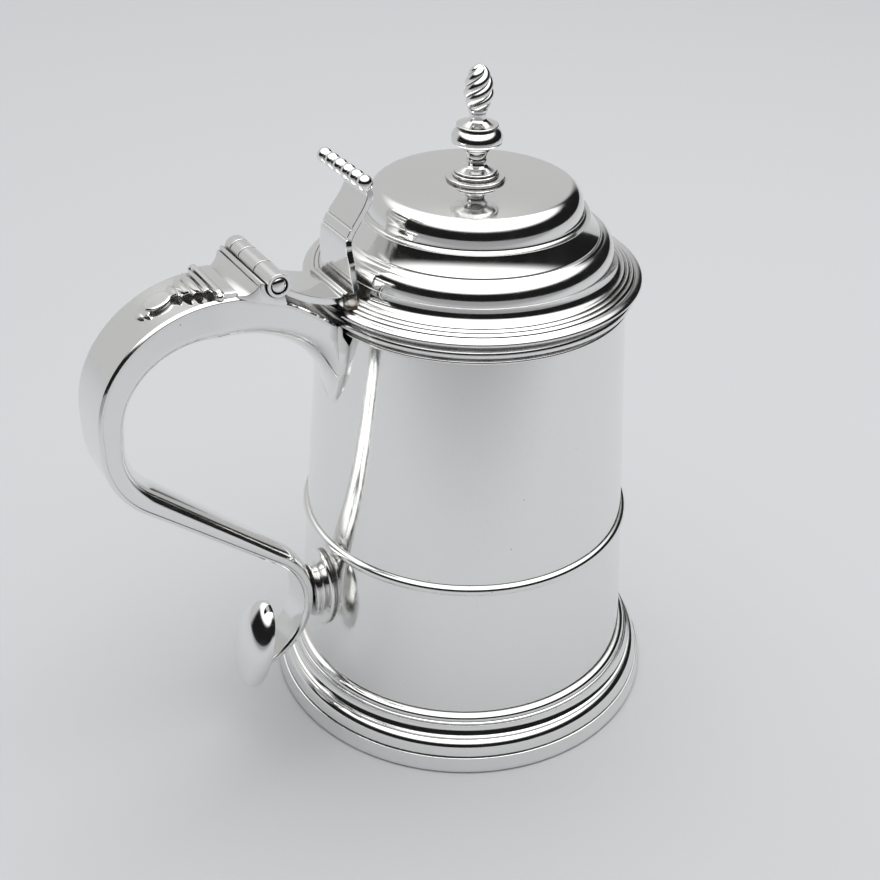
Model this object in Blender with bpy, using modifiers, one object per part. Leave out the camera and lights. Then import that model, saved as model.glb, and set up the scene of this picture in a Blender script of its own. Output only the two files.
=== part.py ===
"""Silver tankard: tapering barrel on a moulded foot, S-scroll handle, hinged stepped lid with a flame finial.

Sizes are in millimetres and become metres in the mesh. +Z is up, the foot stands on Z = 0 and the handle
is on the -X side. The origin is on the table, in the middle of the box round the tankard, so the barrel's
axis lies towards +X from it. "Reach" is the distance out from the barrel's axis towards the handle.
"""
import math

import bpy

MM = 0.001

# fits and facets
GAP = 0.3
TURNED_STEPS = 48
SMALL_STEPS = 20

# barrel and bottom
BARREL_TOP_Z = 147.6
BARREL_FOOT_Z = 3.0
BARREL_TOP_RADIUS = 46.75
BARREL_FOOT_RADIUS = 57.4
BARREL_WALL = 1.2
BOTTOM_Z = 6.5
BOTTOM_THICKNESS = 1.6

# moulded foot
FOOT_SPREAD = 7.38
FOOT_HEIGHT = 19.1
FOOT_REST_WIDTH = 4.0

# applied wires on the barrel
MIDBAND_Z = 65.6
MIDBAND_HEIGHT = 3.4
MIDBAND_RISE = 1.5
LIP_HEIGHT = 6.2
LIP_RISE = 2.8

# lid
LID_RADIUS = 51.6
LID_HEIGHT = 29.5
LID_WALL = 1.3
RIM_WIRE_WIDTH = 2.3
RIM_WIRE_HEIGHT = 2.4
FLANGE_WIDTH = 6.4
FLANGE_RISE = 4.1
BEZEL_CLEARANCE = 1.35
BEZEL_WALL = 1.2
BEZEL_DEPTH = 3.4

# finial
PEDESTAL_RADIUS = 6.8
PEDESTAL_FOOT_RADIUS = 8.65
PEDESTAL_HEIGHT = 9.0
KNOP_RADIUS = 7.6
KNOP_HEIGHT = 11.7
FLAME_RADIUS = 4.2
FLAME_HEIGHT = 12.0
FLAME_LOBES = 4
FLAME_TURNS = 0.9

# handle
HANDLE_REACH = 122.2
CREST_REACH = 86.0
CREST_RISE = 14.7
BACK_FLAT = 6.7
RUN_TURN = math.radians(49.6)
UPPER_BEND_RADIUS = 29.6
LOWER_BEND_RADIUS = 22.5
WAIST_STAND = 9.0
WAIST_Z = 48.0
TAIL_RADIUS = 20.0
TAIL_SWEEP = math.radians(76.0)
ROOT_DROP = 33.6
ROOT_WIDTH = 17.0
CREST_WIDTH = 21.0
TAIL_WIDTH = 12.0
CREST_DEPTH = 14.0
TAIL_DEPTH = 3.6
EVEN_TAPER = 0.55
STRIP_THICKNESS = 1.2
SHELL_WALL = 1.0

# terminal boss and lower mount
BOSS_HEIGHT = 32.0
BOSS_WIDTH = 20.2
BOSS_DOME = 6.7
BOSS_RIM = 1.2
BOSS_LIFT = 3.2
BOSS_TILT = math.radians(16.4)
MOUNT_DROP = 1.5
MOUNT_WIDTH = 19.0
MOUNT_HEIGHT = 28.0
MOUNT_FLANGE = 1.4

# hinge
HINGE_REACH = 70.5
HINGE_LENGTH = 30.0
KNUCKLE_RADIUS = 3.4
PIN_RADIUS = 2.2
NEAR_KNUCKLE_LENGTH = 9.7
LID_KNUCKLE_LENGTH = 10.1
PIN_CAP_LENGTH = 4.0
BLOCK_WIDTH = 28.0
BLOCK_FOOT = 6.6
BLOCK_WEB = 1.9
LEAF_WIDTH = 20.0
LEAF_THICKNESS = 1.9
DROP_LENGTH = 24.5
DROP_HEIGHT = 2.7

# thumbpiece
THUMB_HEIGHT = 31.4
THUMB_FOOT_LEAN = 1.4
THUMB_LEAN = 6.0
THUMB_CURL = 2.6
THUMB_FOOT_WIDTH = 20.0
THUMB_WAIST_WIDTH = 14.0
THUMB_THICKNESS = 1.9
ROLL_RADIUS = 2.3
ROLL_BEADS = 6
ROLL_BEAD_PITCH = 4.75

for old in list(bpy.data.objects):
    bpy.data.objects.remove(old, do_unlink=True)

tankard = bpy.data.collections.new("silver_tankard")
bpy.context.scene.collection.children.link(tankard)


def silver(name, colour, roughness):
    """A polished silver for one piece."""
    material = bpy.data.materials.new(name + "_silver")
    material.use_nodes = True
    shader = material.node_tree.nodes["Principled BSDF"]
    shader.inputs["Base Color"].default_value = (*colour, 1.0)
    shader.inputs["Roughness"].default_value = roughness
    shader.inputs["Metallic"].default_value = 1.0
    return material


BRIGHT = (0.86, 0.85, 0.83)
SOFT = (0.80, 0.79, 0.77)


def axis_empty(name, x, z, parent):
    """An empty that carries a group of pieces, placed from the foot of the barrel's axis."""
    empty = bpy.data.objects.new(name, None)
    empty.empty_display_size = 0.01
    empty.location = (x * MM, 0.0, z * MM)
    empty.parent = parent
    tankard.objects.link(empty)
    return empty


def add_piece(name, mesh, parent, colour=BRIGHT, roughness=0.16):
    """Puts a finished mesh in the collection as a named piece under the empty of its group."""
    piece = bpy.data.objects.new(name, mesh)
    mesh.materials.append(silver(name, colour, roughness))
    for polygon in mesh.polygons:
        polygon.use_smooth = True
    tankard.objects.link(piece)
    piece.parent = parent
    piece.location = [-value for value in parent.location]
    return piece


def turned(name, profile, parent, steps=TURNED_STEPS, colour=BRIGHT, roughness=0.16):
    """A turned piece from (radius, height) points down its outer side, closed on itself or on the axis."""
    mesh = bpy.data.meshes.new(name)
    points = [(radius * MM, 0.0, height * MM) for radius, height in profile]
    edges = [(k, k + 1) for k in range(len(points) - 1)]
    if profile[0][0] > 0.0:
        edges.append((len(points) - 1, 0))
    mesh.from_pydata(points, edges, [])
    piece = add_piece(name, mesh, parent, colour, roughness)
    screw = piece.modifiers.new("turn", 'SCREW')
    screw.axis = 'Z'
    screw.angle = 2.0 * math.pi
    screw.steps = steps
    screw.render_steps = steps
    screw.use_merge_vertices = True
    screw.merge_threshold = 0.00001
    screw.use_smooth_shade = True
    return piece


def turned_on_hinge(name, profile, parent, centre, colour=BRIGHT):
    """A turned piece whose own axis lies along the hinge, its height counted towards -Y."""
    piece = turned(name, profile, parent, SMALL_STEPS, colour)
    reach, height = centre
    piece.rotation_euler = (math.radians(90.0), 0.0, 0.0)
    piece.location = (-reach * MM - parent.location[0], 0.0, height * MM - parent.location[2])
    return piece


def lofted(name, rings, parent, cap_ends=True, closed=True, colour=BRIGHT):
    """A skin through rings of (reach, side, height) points, the last ring being a single point for a tip."""
    points = []
    starts = []
    for ring in rings:
        starts.append(len(points))
        points.extend((-reach * MM, side * MM, height * MM) for reach, side, height in ring)
    faces = []
    for k in range(len(rings) - 1):
        here, there = starts[k], starts[k + 1]
        count = len(rings[k])
        for j in range(count if closed else count - 1):
            after = (j + 1) % count
            if len(rings[k + 1]) == 1:
                faces.append((here + j, here + after, there))
            elif count == 1:
                break
            else:
                faces.append((here + j, here + after, there + after, there + j))
    if len(rings[0]) == 1:
        count = len(rings[1])
        faces.extend((starts[1] + (j + 1) % count, starts[1] + j, 0) for j in range(count))
    elif cap_ends:
        faces.append(tuple(reversed(range(len(rings[0])))))
    if cap_ends and len(rings[-1]) > 1:
        faces.append(tuple(range(starts[-1], len(points))))
    mesh = bpy.data.meshes.new(name)
    mesh.from_pydata(points, [], faces)
    return add_piece(name, outward(mesh), parent, colour)


def outward(mesh):
    """The mesh with every face turned to face out of the closed body."""
    volume = 0.0
    for polygon in mesh.polygons:
        first = mesh.vertices[polygon.vertices[0]].co
        for k in range(1, len(polygon.vertices) - 1):
            second = mesh.vertices[polygon.vertices[k]].co
            third = mesh.vertices[polygon.vertices[k + 1]].co
            volume += first.dot(second.cross(third))
    if volume < 0.0:
        mesh.flip_normals()
    return mesh


def plate(name, outline, width, parent, colour=BRIGHT):
    """A flat outline of (reach, height) points in the plane of symmetry, thickened to both sides."""
    mesh = bpy.data.meshes.new(name)
    points = [(-reach * MM, 0.0, height * MM) for reach, height in outline]
    mesh.from_pydata(points, [], [tuple(range(len(points)))])
    piece = add_piece(name, mesh, parent, colour)
    thicken = piece.modifiers.new("width", 'SOLIDIFY')
    thicken.thickness = width * MM
    thicken.offset = 0.0
    thicken.use_even_offset = True
    return piece


def arc(centre, radii, start, end, count):
    """Points on an elliptical arc between two angles in degrees, both ends included."""
    result = []
    for k in range(count + 1):
        angle = math.radians(start + (end - start) * k / count)
        result.append((centre[0] + radii[0] * math.cos(angle), centre[1] + radii[1] * math.sin(angle)))
    return result


def mix(a, b, share):
    """The value a given share of the way from a to b."""
    return a + (b - a) * share


# barrel, bottom and applied mouldings
def barrel_radius(height):
    """Outer radius of the tapering barrel at a height."""
    share = (height - BARREL_FOOT_Z) / (BARREL_TOP_Z - BARREL_FOOT_Z)
    return mix(BARREL_FOOT_RADIUS, BARREL_TOP_RADIUS, share)


foot_radius = barrel_radius(0.0) + FOOT_SPREAD
barrel_axis = axis_empty("barrel_axis", (HANDLE_REACH - foot_radius) / 2.0, 0.0, None)
body_group = axis_empty("tankard_body", 0.0, 0.0, barrel_axis)

turned(
    "body_barrel",
    [
        (BARREL_TOP_RADIUS, BARREL_TOP_Z),
        (BARREL_FOOT_RADIUS, BARREL_FOOT_Z),
        (BARREL_FOOT_RADIUS - BARREL_WALL, BARREL_FOOT_Z),
        (BARREL_TOP_RADIUS - BARREL_WALL, BARREL_TOP_Z),
    ],
    body_group,
    roughness=0.2,
)

bottom_top = BOTTOM_Z + BOTTOM_THICKNESS
bottom_radius = barrel_radius(bottom_top) - BARREL_WALL - GAP
turned(
    "bottom_disc",
    [(0.0, bottom_top), (bottom_radius, bottom_top), (bottom_radius, BOTTOM_Z), (0.0, BOTTOM_Z)],
    body_group,
    colour=SOFT,
    roughness=0.3,
)


def foot_profile():
    """Bead, small bead, cove, fillet, ovolo and fascia, running down to the flat that it rests on."""
    spread = FOOT_SPREAD

    def at(projection, height_share):
        return (barrel_radius(0.0) + projection * spread, height_share * FOOT_HEIGHT)

    top_bead = at(-0.02, 0.955)
    low_bead = at(0.06, 0.865)
    cove = at(0.49, 0.82)
    ovolo = at(0.5, 0.31)
    points = [(barrel_radius(FOOT_HEIGHT) + GAP + 0.4, FOOT_HEIGHT)]
    points += arc(top_bead, (0.145 * spread, 0.045 * FOOT_HEIGHT), 75.0, -75.0, 3)
    points += arc(low_bead, (0.09 * spread, 0.03 * FOOT_HEIGHT), 70.0, -70.0, 2)
    points += arc(cove, (0.39 * spread, 0.18 * FOOT_HEIGHT), 180.0, 270.0, 3)
    points += [at(0.55, 0.64), at(0.55, 0.595), at(0.49, 0.585)]
    points += arc(ovolo, (0.37 * spread, 0.26 * FOOT_HEIGHT), 85.0, 0.0, 4)
    points += [at(0.79, 0.3), at(0.9, 0.28), at(1.0, 0.05), at(0.95, 0.0)]
    rest_inner = at(0.95, 0.0)[0] - FOOT_REST_WIDTH
    points += [
        (rest_inner, 0.0),
        (barrel_radius(BARREL_FOOT_Z) + GAP, BARREL_FOOT_Z),
        (barrel_radius(FOOT_HEIGHT) + GAP, FOOT_HEIGHT),
    ]
    return points


turned("base_moulding", foot_profile(), body_group)


def midband_profile():
    """A half-round wire that follows the slope of the barrel."""
    top = MIDBAND_Z + MIDBAND_HEIGHT / 2.0
    low = MIDBAND_Z - MIDBAND_HEIGHT / 2.0
    centre = (barrel_radius(MIDBAND_Z) + 2.0 * GAP, MIDBAND_Z)
    points = [(barrel_radius(top) + GAP, top)]
    points += arc(centre, (MIDBAND_RISE - 2.0 * GAP, MIDBAND_HEIGHT * 0.46), 80.0, -80.0, 5)
    points.append((barrel_radius(low) + GAP, low))
    return points


turned("midband", midband_profile(), body_group)


def lip_profile():
    """A broad round over a small bead, closing the top edge of the barrel."""
    top = BARREL_TOP_Z
    low = BARREL_TOP_Z - LIP_HEIGHT
    root = barrel_radius(low) + GAP
    points = [(BARREL_TOP_RADIUS + LIP_RISE * 0.7, top)]
    points += arc((root, top - 0.38 * LIP_HEIGHT), (LIP_RISE - GAP, 0.3 * LIP_HEIGHT), 50.0, -70.0, 4)
    points += arc((root, low + 0.15 * LIP_HEIGHT), (LIP_RISE * 0.55, 0.15 * LIP_HEIGHT), 60.0, -80.0, 3)
    points.append((root, low))
    points.append((BARREL_TOP_RADIUS + GAP, top))
    return points


turned("lip_moulding", lip_profile(), body_group)
lip_radius = barrel_radius(BARREL_TOP_Z - LIP_HEIGHT) + LIP_RISE

# handle: its outer line is a rising curve, an elliptical back, a straight run between two bends, a curled tail
crest_z = BARREL_TOP_Z + CREST_RISE
root_reach = lip_radius + 2.0 * GAP
root_z = BARREL_TOP_Z - 2.1
waist_reach = barrel_radius(WAIST_Z) + WAIST_STAND
turn_in = 1.0 - math.cos(RUN_TURN)
run_length = (
    HANDLE_REACH - waist_reach - turn_in * (UPPER_BEND_RADIUS + LOWER_BEND_RADIUS)
) / math.sin(RUN_TURN)
bend_drop = math.sin(RUN_TURN) * (UPPER_BEND_RADIUS + LOWER_BEND_RADIUS)
bend_z = WAIST_Z + bend_drop + run_length * math.cos(RUN_TURN)
back_z = bend_z + BACK_FLAT
back_width = HANDLE_REACH - CREST_REACH
back_height = crest_z - back_z
root_curve = (crest_z - root_z) / (CREST_REACH - root_reach) ** 2
tail_tip_z = BARREL_TOP_Z - ROOT_DROP


def handle_top(reach):
    """Height of the outer line of the handle over its top, from the barrel to the back."""
    if reach <= CREST_REACH:
        return crest_z - root_curve * (CREST_REACH - reach) ** 2
    return back_z + back_height * math.sqrt(1.0 - ((reach - CREST_REACH) / back_width) ** 2)


def outer_line():
    """Points of the outer line from the crest to the tail with the direction towards the inner side."""
    line = []
    for k in range(11):
        angle = math.radians(90.0 - 9.0 * k)
        normal = (math.cos(angle) / back_width, math.sin(angle) / back_height)
        size = math.hypot(*normal)
        point = (CREST_REACH + back_width * math.cos(angle), back_z + back_height * math.sin(angle))
        line.append((point, (-normal[0] / size, -normal[1] / size)))
    for k in range(7):
        angle = RUN_TURN * k / 6.0
        inward = (-math.cos(angle), math.sin(angle))
        centre = HANDLE_REACH - UPPER_BEND_RADIUS
        point = (centre - UPPER_BEND_RADIUS * inward[0], bend_z - UPPER_BEND_RADIUS * inward[1])
        line.append((point, inward))
    inward = (-math.cos(RUN_TURN), math.sin(RUN_TURN))
    start = line[-1][0]
    for k in range(1, 4):
        along = run_length * k / 4.0
        line.append(((start[0] - along * math.sin(RUN_TURN), start[1] - along * math.cos(RUN_TURN)), inward))
    for k in range(7):
        angle = RUN_TURN * (1.0 - k / 6.0)
        inward = (-math.cos(angle), math.sin(angle))
        centre = waist_reach + LOWER_BEND_RADIUS
        point = (centre + LOWER_BEND_RADIUS * inward[0], WAIST_Z + LOWER_BEND_RADIUS * inward[1])
        line.append((point, inward))
    for k in range(1, 9):
        angle = TAIL_SWEEP * k / 8.0
        inward = (-math.cos(angle), -math.sin(angle))
        centre = waist_reach + TAIL_RADIUS
        line.append(((centre + TAIL_RADIUS * inward[0], WAIST_Z + TAIL_RADIUS * inward[1]), inward))
    return line


def handle_stations():
    """Cross-sections of the handle: outer point, inner point, half width and flat share of the side."""
    stations = []
    root_count = 10
    inner_low = barrel_radius(tail_tip_z) + 1.5 * GAP
    inner_rise = crest_z - CREST_DEPTH - tail_tip_z
    for k in range(root_count):
        share = k / root_count
        angle = math.radians(90.0 * share)
        reach = mix(root_reach, CREST_REACH, share ** 3.5)
        inner = (
            CREST_REACH - (CREST_REACH - inner_low) * math.cos(angle),
            tail_tip_z + inner_rise * math.sin(angle),
        )
        width = mix(ROOT_WIDTH, CREST_WIDTH, share)
        stations.append(((reach, handle_top(reach)), inner, width / 2.0, mix(0.12, 0.5, share)))
    line = outer_line()
    lengths = [0.0]
    for k in range(1, len(line)):
        lengths.append(lengths[-1] + math.dist(line[k][0], line[k - 1][0]))
    for (point, inward), length in zip(line, lengths):
        left = 1.0 - length / lengths[-1]
        depth = mix(TAIL_DEPTH, CREST_DEPTH, mix(left ** 4, left, EVEN_TAPER))
        width = mix(TAIL_WIDTH, CREST_WIDTH, left ** 1.7)
        inner = (point[0] + inward[0] * depth, point[1] + inward[1] * depth)
        stations.append((point, inner, width / 2.0, 0.5))
    return stations


def root_end_radius(height):
    """Radius that the end of the handle keeps to: along the barrel, then out round the lip moulding."""
    lip_low = BARREL_TOP_Z - LIP_HEIGHT - GAP
    share = min(max((height - lip_low + LIP_RISE) / LIP_RISE, 0.0), 1.0)
    return mix(barrel_radius(height), lip_radius, share) + 1.2 * GAP


def u_section(station, inset, top):
    """Points round a U from one edge to the other, inset by a wall; depth is counted from the outer line."""
    outer, inner, half, flat = station
    depth = math.dist(outer, inner)
    across = half - inset
    bottom = depth - inset
    turn_at = top + flat * (depth - top)
    turn_at = min(turn_at, bottom - 0.2)
    side = [(across, top), (across, mix(top, turn_at, 0.5)), (across, turn_at)]
    for degrees in (25.0, 50.0, 72.0):
        angle = math.radians(degrees)
        side.append((across * math.cos(angle), turn_at + (bottom - turn_at) * math.sin(angle)))
    whole = side + [(0.0, bottom)] + [(-across_k, deep) for across_k, deep in reversed(side)]
    points = []
    for offset, deep in whole:
        share = deep / depth
        points.append((mix(outer[0], inner[0], share), offset, mix(outer[1], inner[1], share)))
    return points


def on_barrel(points):
    """The points moved along the reach until they lie round the barrel and its lip."""
    moved = []
    for reach, side, height in points:
        radius = root_end_radius(height)
        moved.append((math.sqrt(radius ** 2 - side ** 2), side, height))
    return moved


def shell_rings(stations):
    """Closed loops of the U-shaped channel: the outside one way and the inside back."""
    rings = []
    top = STRIP_THICKNESS + GAP
    for k, station in enumerate(stations):
        outside = u_section(station, 0.0, top)
        inside = u_section(station, SHELL_WALL, top)
        if k == 0:
            outside = on_barrel(outside)
            inside = on_barrel(inside)
        rings.append((outside, inside))
    return rings


def handle_shell():
    """The channel skin: outside, inside, the two long edges and the U-shaped ends."""
    rings = shell_rings(handle_stations())
    count = len(rings[0][0])
    points = []
    for outside, inside in rings:
        points.extend((-reach * MM, side * MM, height * MM) for reach, side, height in outside + inside)
    faces = []
    size = 2 * count

    def link(a, b, c, d):
        faces.append((a, b, c, d))

    for k in range(len(rings) - 1):
        here = k * size
        there = here + size
        for j in range(count - 1):
            link(here + j, here + j + 1, there + j + 1, there + j)
            link(here + count + j + 1, here + count + j, there + count + j, there + count + j + 1)
        link(here + count, here, there, there + count)
        link(here + count - 1, here + size - 1, there + size - 1, there + count - 1)
    last = (len(rings) - 1) * size
    for j in range(count - 1):
        link(j + 1, j, count + j, count + j + 1)
        link(last + j, last + j + 1, last + count + j + 1, last + count + j)
    mesh = bpy.data.meshes.new("handle_shell")
    mesh.from_pydata(points, [], faces)
    return add_piece("handle_shell", outward(mesh), body_group)


def handle_strip():
    """The flat strip along the outer line of the handle."""
    rings = []
    for outer, inner, half, _ in handle_stations():
        share = STRIP_THICKNESS / math.dist(outer, inner)
        under = (mix(outer[0], inner[0], share), mix(outer[1], inner[1], share))
        rings.append(
            [
                (outer[0], half, outer[1]),
                (outer[0], -half, outer[1]),
                (under[0], -half, under[1]),
                (under[0], half, under[1]),
            ]
        )
    return lofted("handle_back_strip", rings, body_group)


handle_shell()
handle_strip()


def oval_ring(centre, along, up, width, height, count=20):
    """An oval round a centre in the plane of symmetry; along and up are directions in (reach, height)."""
    ring = []
    for k in range(count):
        angle = 2.0 * math.pi * k / count
        rise = height / 2.0 * math.cos(angle)
        ring.append(
            (
                centre[0] + up[0] * rise + along[0],
                width / 2.0 * math.sin(angle),
                centre[1] + up[1] * rise + along[1],
            )
        )
    return ring


def terminal_boss():
    """A domed oval plate whose flat back faces the end of the tail."""
    tail_outer, tail_inner, _, _ = handle_stations()[-1]
    facing = (math.cos(BOSS_TILT), math.sin(BOSS_TILT))
    up = (-math.sin(BOSS_TILT), math.cos(BOSS_TILT))
    reach_along = max(end[0] * facing[0] + end[1] * facing[1] for end in (tail_outer, tail_inner)) + GAP
    lift = tail_outer[0] * up[0] + tail_outer[1] * up[1] + BOSS_LIFT
    centre = (facing[0] * reach_along + up[0] * lift, facing[1] * reach_along + up[1] * lift)
    rings = []
    for depth, size in [(0.0, 0.94), (0.35 * BOSS_RIM, 1.0), (BOSS_RIM, 1.0)]:
        shift = (facing[0] * depth, facing[1] * depth)
        rings.append(oval_ring(centre, shift, up, BOSS_WIDTH * size, BOSS_HEIGHT * size))
    for degrees in (22.0, 42.0, 60.0, 76.0):
        angle = math.radians(degrees)
        depth = BOSS_RIM + (BOSS_DOME - BOSS_RIM) * math.sin(angle)
        shift = (facing[0] * depth, facing[1] * depth)
        size = math.cos(angle)
        rings.append(oval_ring(centre, shift, up, BOSS_WIDTH * size, BOSS_HEIGHT * size))
    rings.append([(centre[0] + facing[0] * BOSS_DOME, 0.0, centre[1] + facing[1] * BOSS_DOME)])
    return lofted("handle_terminal_boss", rings, body_group)


terminal_boss()


def lower_mount():
    """An oval spool: a flange round the barrel, a neck and a ring against the inner side of the handle."""
    mount_z = WAIST_Z - MOUNT_DROP
    low = [station for station in handle_stations() if station[1][1] < WAIST_Z + 9.0]
    nearest = min(low, key=lambda station: station[1][0])
    end_reach = nearest[1][0] - GAP
    start_reach = barrel_radius(mount_z) + GAP
    length = end_reach - start_reach
    level = (0.0, mount_z)
    upright = (0.0, 1.0)

    def against_barrel(size, stand):
        ring = oval_ring(level, (0.0, 0.0), upright, MOUNT_WIDTH * size, MOUNT_HEIGHT * size)
        return [
            (math.sqrt((barrel_radius(height) + GAP + stand) ** 2 - side ** 2), side, height)
            for _, side, height in ring
        ]

    rings = [
        [(start_reach, 0.0, mount_z)],
        against_barrel(0.5, 0.0),
        against_barrel(0.96, 0.0),
        against_barrel(1.0, MOUNT_FLANGE * 0.5),
        against_barrel(0.96, MOUNT_FLANGE),
        against_barrel(0.78, MOUNT_FLANGE * 1.2),
    ]
    for share, size in [(0.55, 0.64), (0.78, 0.66), (0.88, 0.72), (1.0, 0.66)]:
        reach = start_reach + length * share
        middle = (reach, mount_z)
        rings.append(oval_ring(middle, (0.0, 0.0), upright, MOUNT_WIDTH * size, MOUNT_HEIGHT * size))
    return lofted("handle_lower_mount", rings, body_group)


lower_mount()

# hinge, fixed side
hinge_z = handle_top(HINGE_REACH) + GAP + BLOCK_WEB + GAP + KNUCKLE_RADIUS
hinge = (HINGE_REACH, hinge_z)
lid_group = axis_empty("lid_hinge", -HINGE_REACH, hinge_z, barrel_axis)
bore_radius = PIN_RADIUS + GAP


def tube_profile(near, far):
    """A plain knuckle between two distances along the hinge."""
    return [(KNUCKLE_RADIUS, near), (KNUCKLE_RADIUS, far), (bore_radius, far), (bore_radius, near)]


near_end = HINGE_LENGTH / 2.0
far_end = -HINGE_LENGTH / 2.0
lid_knuckle_near = near_end - NEAR_KNUCKLE_LENGTH - GAP
lid_knuckle_far = lid_knuckle_near - LID_KNUCKLE_LENGTH
cap_near = far_end + PIN_CAP_LENGTH
near_tube = tube_profile(near_end, near_end - NEAR_KNUCKLE_LENGTH)
turned_on_hinge("hinge_knuckle_near", near_tube, body_group, hinge)
turned_on_hinge("hinge_knuckle_far", tube_profile(lid_knuckle_far - GAP, cap_near + GAP), body_group, hinge)
turned_on_hinge("lid_hinge_knuckle", tube_profile(lid_knuckle_near, lid_knuckle_far), lid_group, hinge)

pin_shoulder = near_end - 0.5
pin_points = [(0.0, pin_shoulder + 0.8)]
pin_points += arc((0.0, pin_shoulder), (PIN_RADIUS, 0.8), 65.0, 0.0, 3)
pin_points += [(PIN_RADIUS, cap_near + GAP), (0.0, cap_near + GAP)]
turned_on_hinge("hinge_pin", pin_points, body_group, hinge, SOFT)

cap_points = [(0.0, cap_near), (KNUCKLE_RADIUS, cap_near), (KNUCKLE_RADIUS, far_end + 0.6)]
cap_points += [(KNUCKLE_RADIUS * 0.85, far_end + 0.1), (0.0, far_end - 0.2)]
turned_on_hinge("hinge_pin_cap", cap_points, body_group, hinge)


def block_outline():
    """An inclined face up to a bevelled ridge, a round seat for the knuckles and a foot on the handle."""
    seat = KNUCKLE_RADIUS + GAP
    foot_reach = HINGE_REACH + seat + BLOCK_FOOT
    ridge = (HINGE_REACH + seat + 1.9, hinge_z + 0.5)
    crown = (HINGE_REACH + seat + 0.75, hinge_z + 1.5)
    foot = (foot_reach, handle_top(foot_reach) + GAP)
    points = [foot]
    points.append((mix(foot[0], ridge[0], 0.42), mix(foot[1], ridge[1], 0.28)))
    points.append((mix(foot[0], ridge[0], 0.75), mix(foot[1], ridge[1], 0.62)))
    points += [ridge, crown]
    points += arc(hinge, (seat, seat), 14.0, -118.0, 6)
    inner_reach = HINGE_REACH - 0.65 * seat
    points.append((inner_reach, handle_top(inner_reach) + GAP + 0.6))
    for k in range(5):
        reach = mix(inner_reach, foot_reach, k / 5.0)
        points.append((reach, handle_top(reach) + GAP))
    return points


plate("hinge_block", block_outline(), BLOCK_WIDTH, body_group)


def hinge_drop():
    """Ridges across the handle that narrow to a neck, a round disc and a pointed tip, over its curved back."""
    start = HINGE_REACH + KNUCKLE_RADIUS + BLOCK_FOOT + 2.0 * GAP
    disc = 0.755
    disc_size = 0.135
    outline = [
        (0.0, 0.94, 0.4), (0.03, 0.94, 0.55), (0.15, 0.94, 0.55), (0.17, 0.96, 0.95), (0.22, 0.96, 0.95),
        (0.24, 0.74, 0.75), (0.32, 0.58, 0.8), (0.35, 0.66, 0.85), (0.43, 0.46, 0.8), (0.46, 0.52, 0.85),
        (0.53, 0.36, 0.8), (0.58, 0.22, 0.75), (0.62, 0.2, 0.75),
    ]
    across = CREST_WIDTH / 2.0
    stations = [(share, half * across, rise) for share, half, rise in outline]
    for k in range(7):
        angle = math.radians(160.0 - 140.0 * k / 6.0)
        share = disc + disc_size * math.cos(angle)
        stations.append((share, disc_size * DROP_LENGTH * math.sin(angle), 0.8))
    stations += [(0.9, 0.12 * across, 0.5), (0.94, 0.14 * across, 0.5), (1.0, 0.03 * across, 0.3)]
    rings = []
    for share, half, rise in stations:
        reach = start + share * DROP_LENGTH
        step = 0.2
        slope = (handle_top(reach + step) - handle_top(reach - step)) / (2.0 * step)
        size = math.hypot(1.0, slope)
        lift = (-slope / size, 1.0 / size)
        ring = []
        for side, height in [(-1.0, 0.0), (-1.0, 0.7), (-0.5, 1.0), (0.5, 1.0), (1.0, 0.7), (1.0, 0.0)]:
            stand = 1.6 * GAP + height * rise * DROP_HEIGHT
            ring.append((reach + lift[0] * stand, side * half, handle_top(reach) + lift[1] * stand))
        rings.append(ring)
    return lofted("hinge_drop", rings, body_group)


hinge_drop()

# lid
lid_low = BARREL_TOP_Z + 1.3 * GAP
flange_radius = LID_RADIUS - RIM_WIRE_WIDTH - GAP
flange_inner = LID_RADIUS - FLANGE_WIDTH
flange_z = lid_low + FLANGE_RISE
tier_radius = [flange_inner * share for share in (0.938, 0.845, 0.761, 0.717, 0.611)]
tier_z = [lid_low + LID_HEIGHT * share for share in (0.285, 0.485, 0.685, 0.797, 0.963)]
lid_top = lid_low + LID_HEIGHT


def lid_outside():
    """From the middle of the crown: round shoulder, two coved steps, ovolo, scotia and sloping flange."""
    ovolo_r, step_r, edge_r, shoulder_r, crown_r = tier_radius
    ovolo_z, step_z, edge_z, shoulder_z, crown_z = tier_z
    points = [(0.0, lid_top), (0.6 * crown_r, mix(lid_top, crown_z, 0.3))]
    points += arc((crown_r, shoulder_z), (shoulder_r - crown_r, crown_z - shoulder_z), 90.0, 0.0, 4)
    cove = (edge_r - shoulder_r, shoulder_z - 0.4 - edge_z)
    points += arc((edge_r, shoulder_z - 0.4), cove, 180.0, 270.0, 3)
    drop = edge_z - 1.0
    points += [(edge_r + 0.3, edge_z - 0.3)]
    points += arc((step_r, drop), (step_r - edge_r - 0.3, drop - step_z), 180.0, 270.0, 3)
    points += arc((step_r + 0.3, ovolo_z), (ovolo_r - step_r - 0.3, step_z - 0.4 - ovolo_z), 85.0, 0.0, 4)
    low = ovolo_z - 0.4
    points += [(ovolo_r, low)]
    points += arc((flange_inner, low), (flange_inner - ovolo_r - 0.3, low - flange_z), 180.0, 270.0, 3)
    points += [(flange_radius, lid_low + RIM_WIRE_HEIGHT), (flange_radius, lid_low)]
    return points


def lid_inside():
    """The hollow of the lid from the underside of the flange up to the middle."""
    inset = 1.3 * LID_WALL
    points = [(flange_inner - 1.4 * LID_WALL, lid_low), (flange_inner - 1.5 * LID_WALL, flange_z - LID_WALL)]
    for radius, height in list(zip(tier_radius, tier_z))[:3]:
        points.append((radius - inset, height - LID_WALL))
    points.append((tier_radius[3] - inset, tier_z[3] - 0.3 * LID_WALL))
    points.append((tier_radius[4] + 0.3 * LID_WALL, tier_z[4] - LID_WALL))
    points.append((0.0, lid_top - LID_WALL))
    return points


turned("lid_dome", lid_outside() + lid_inside(), lid_group)

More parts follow.
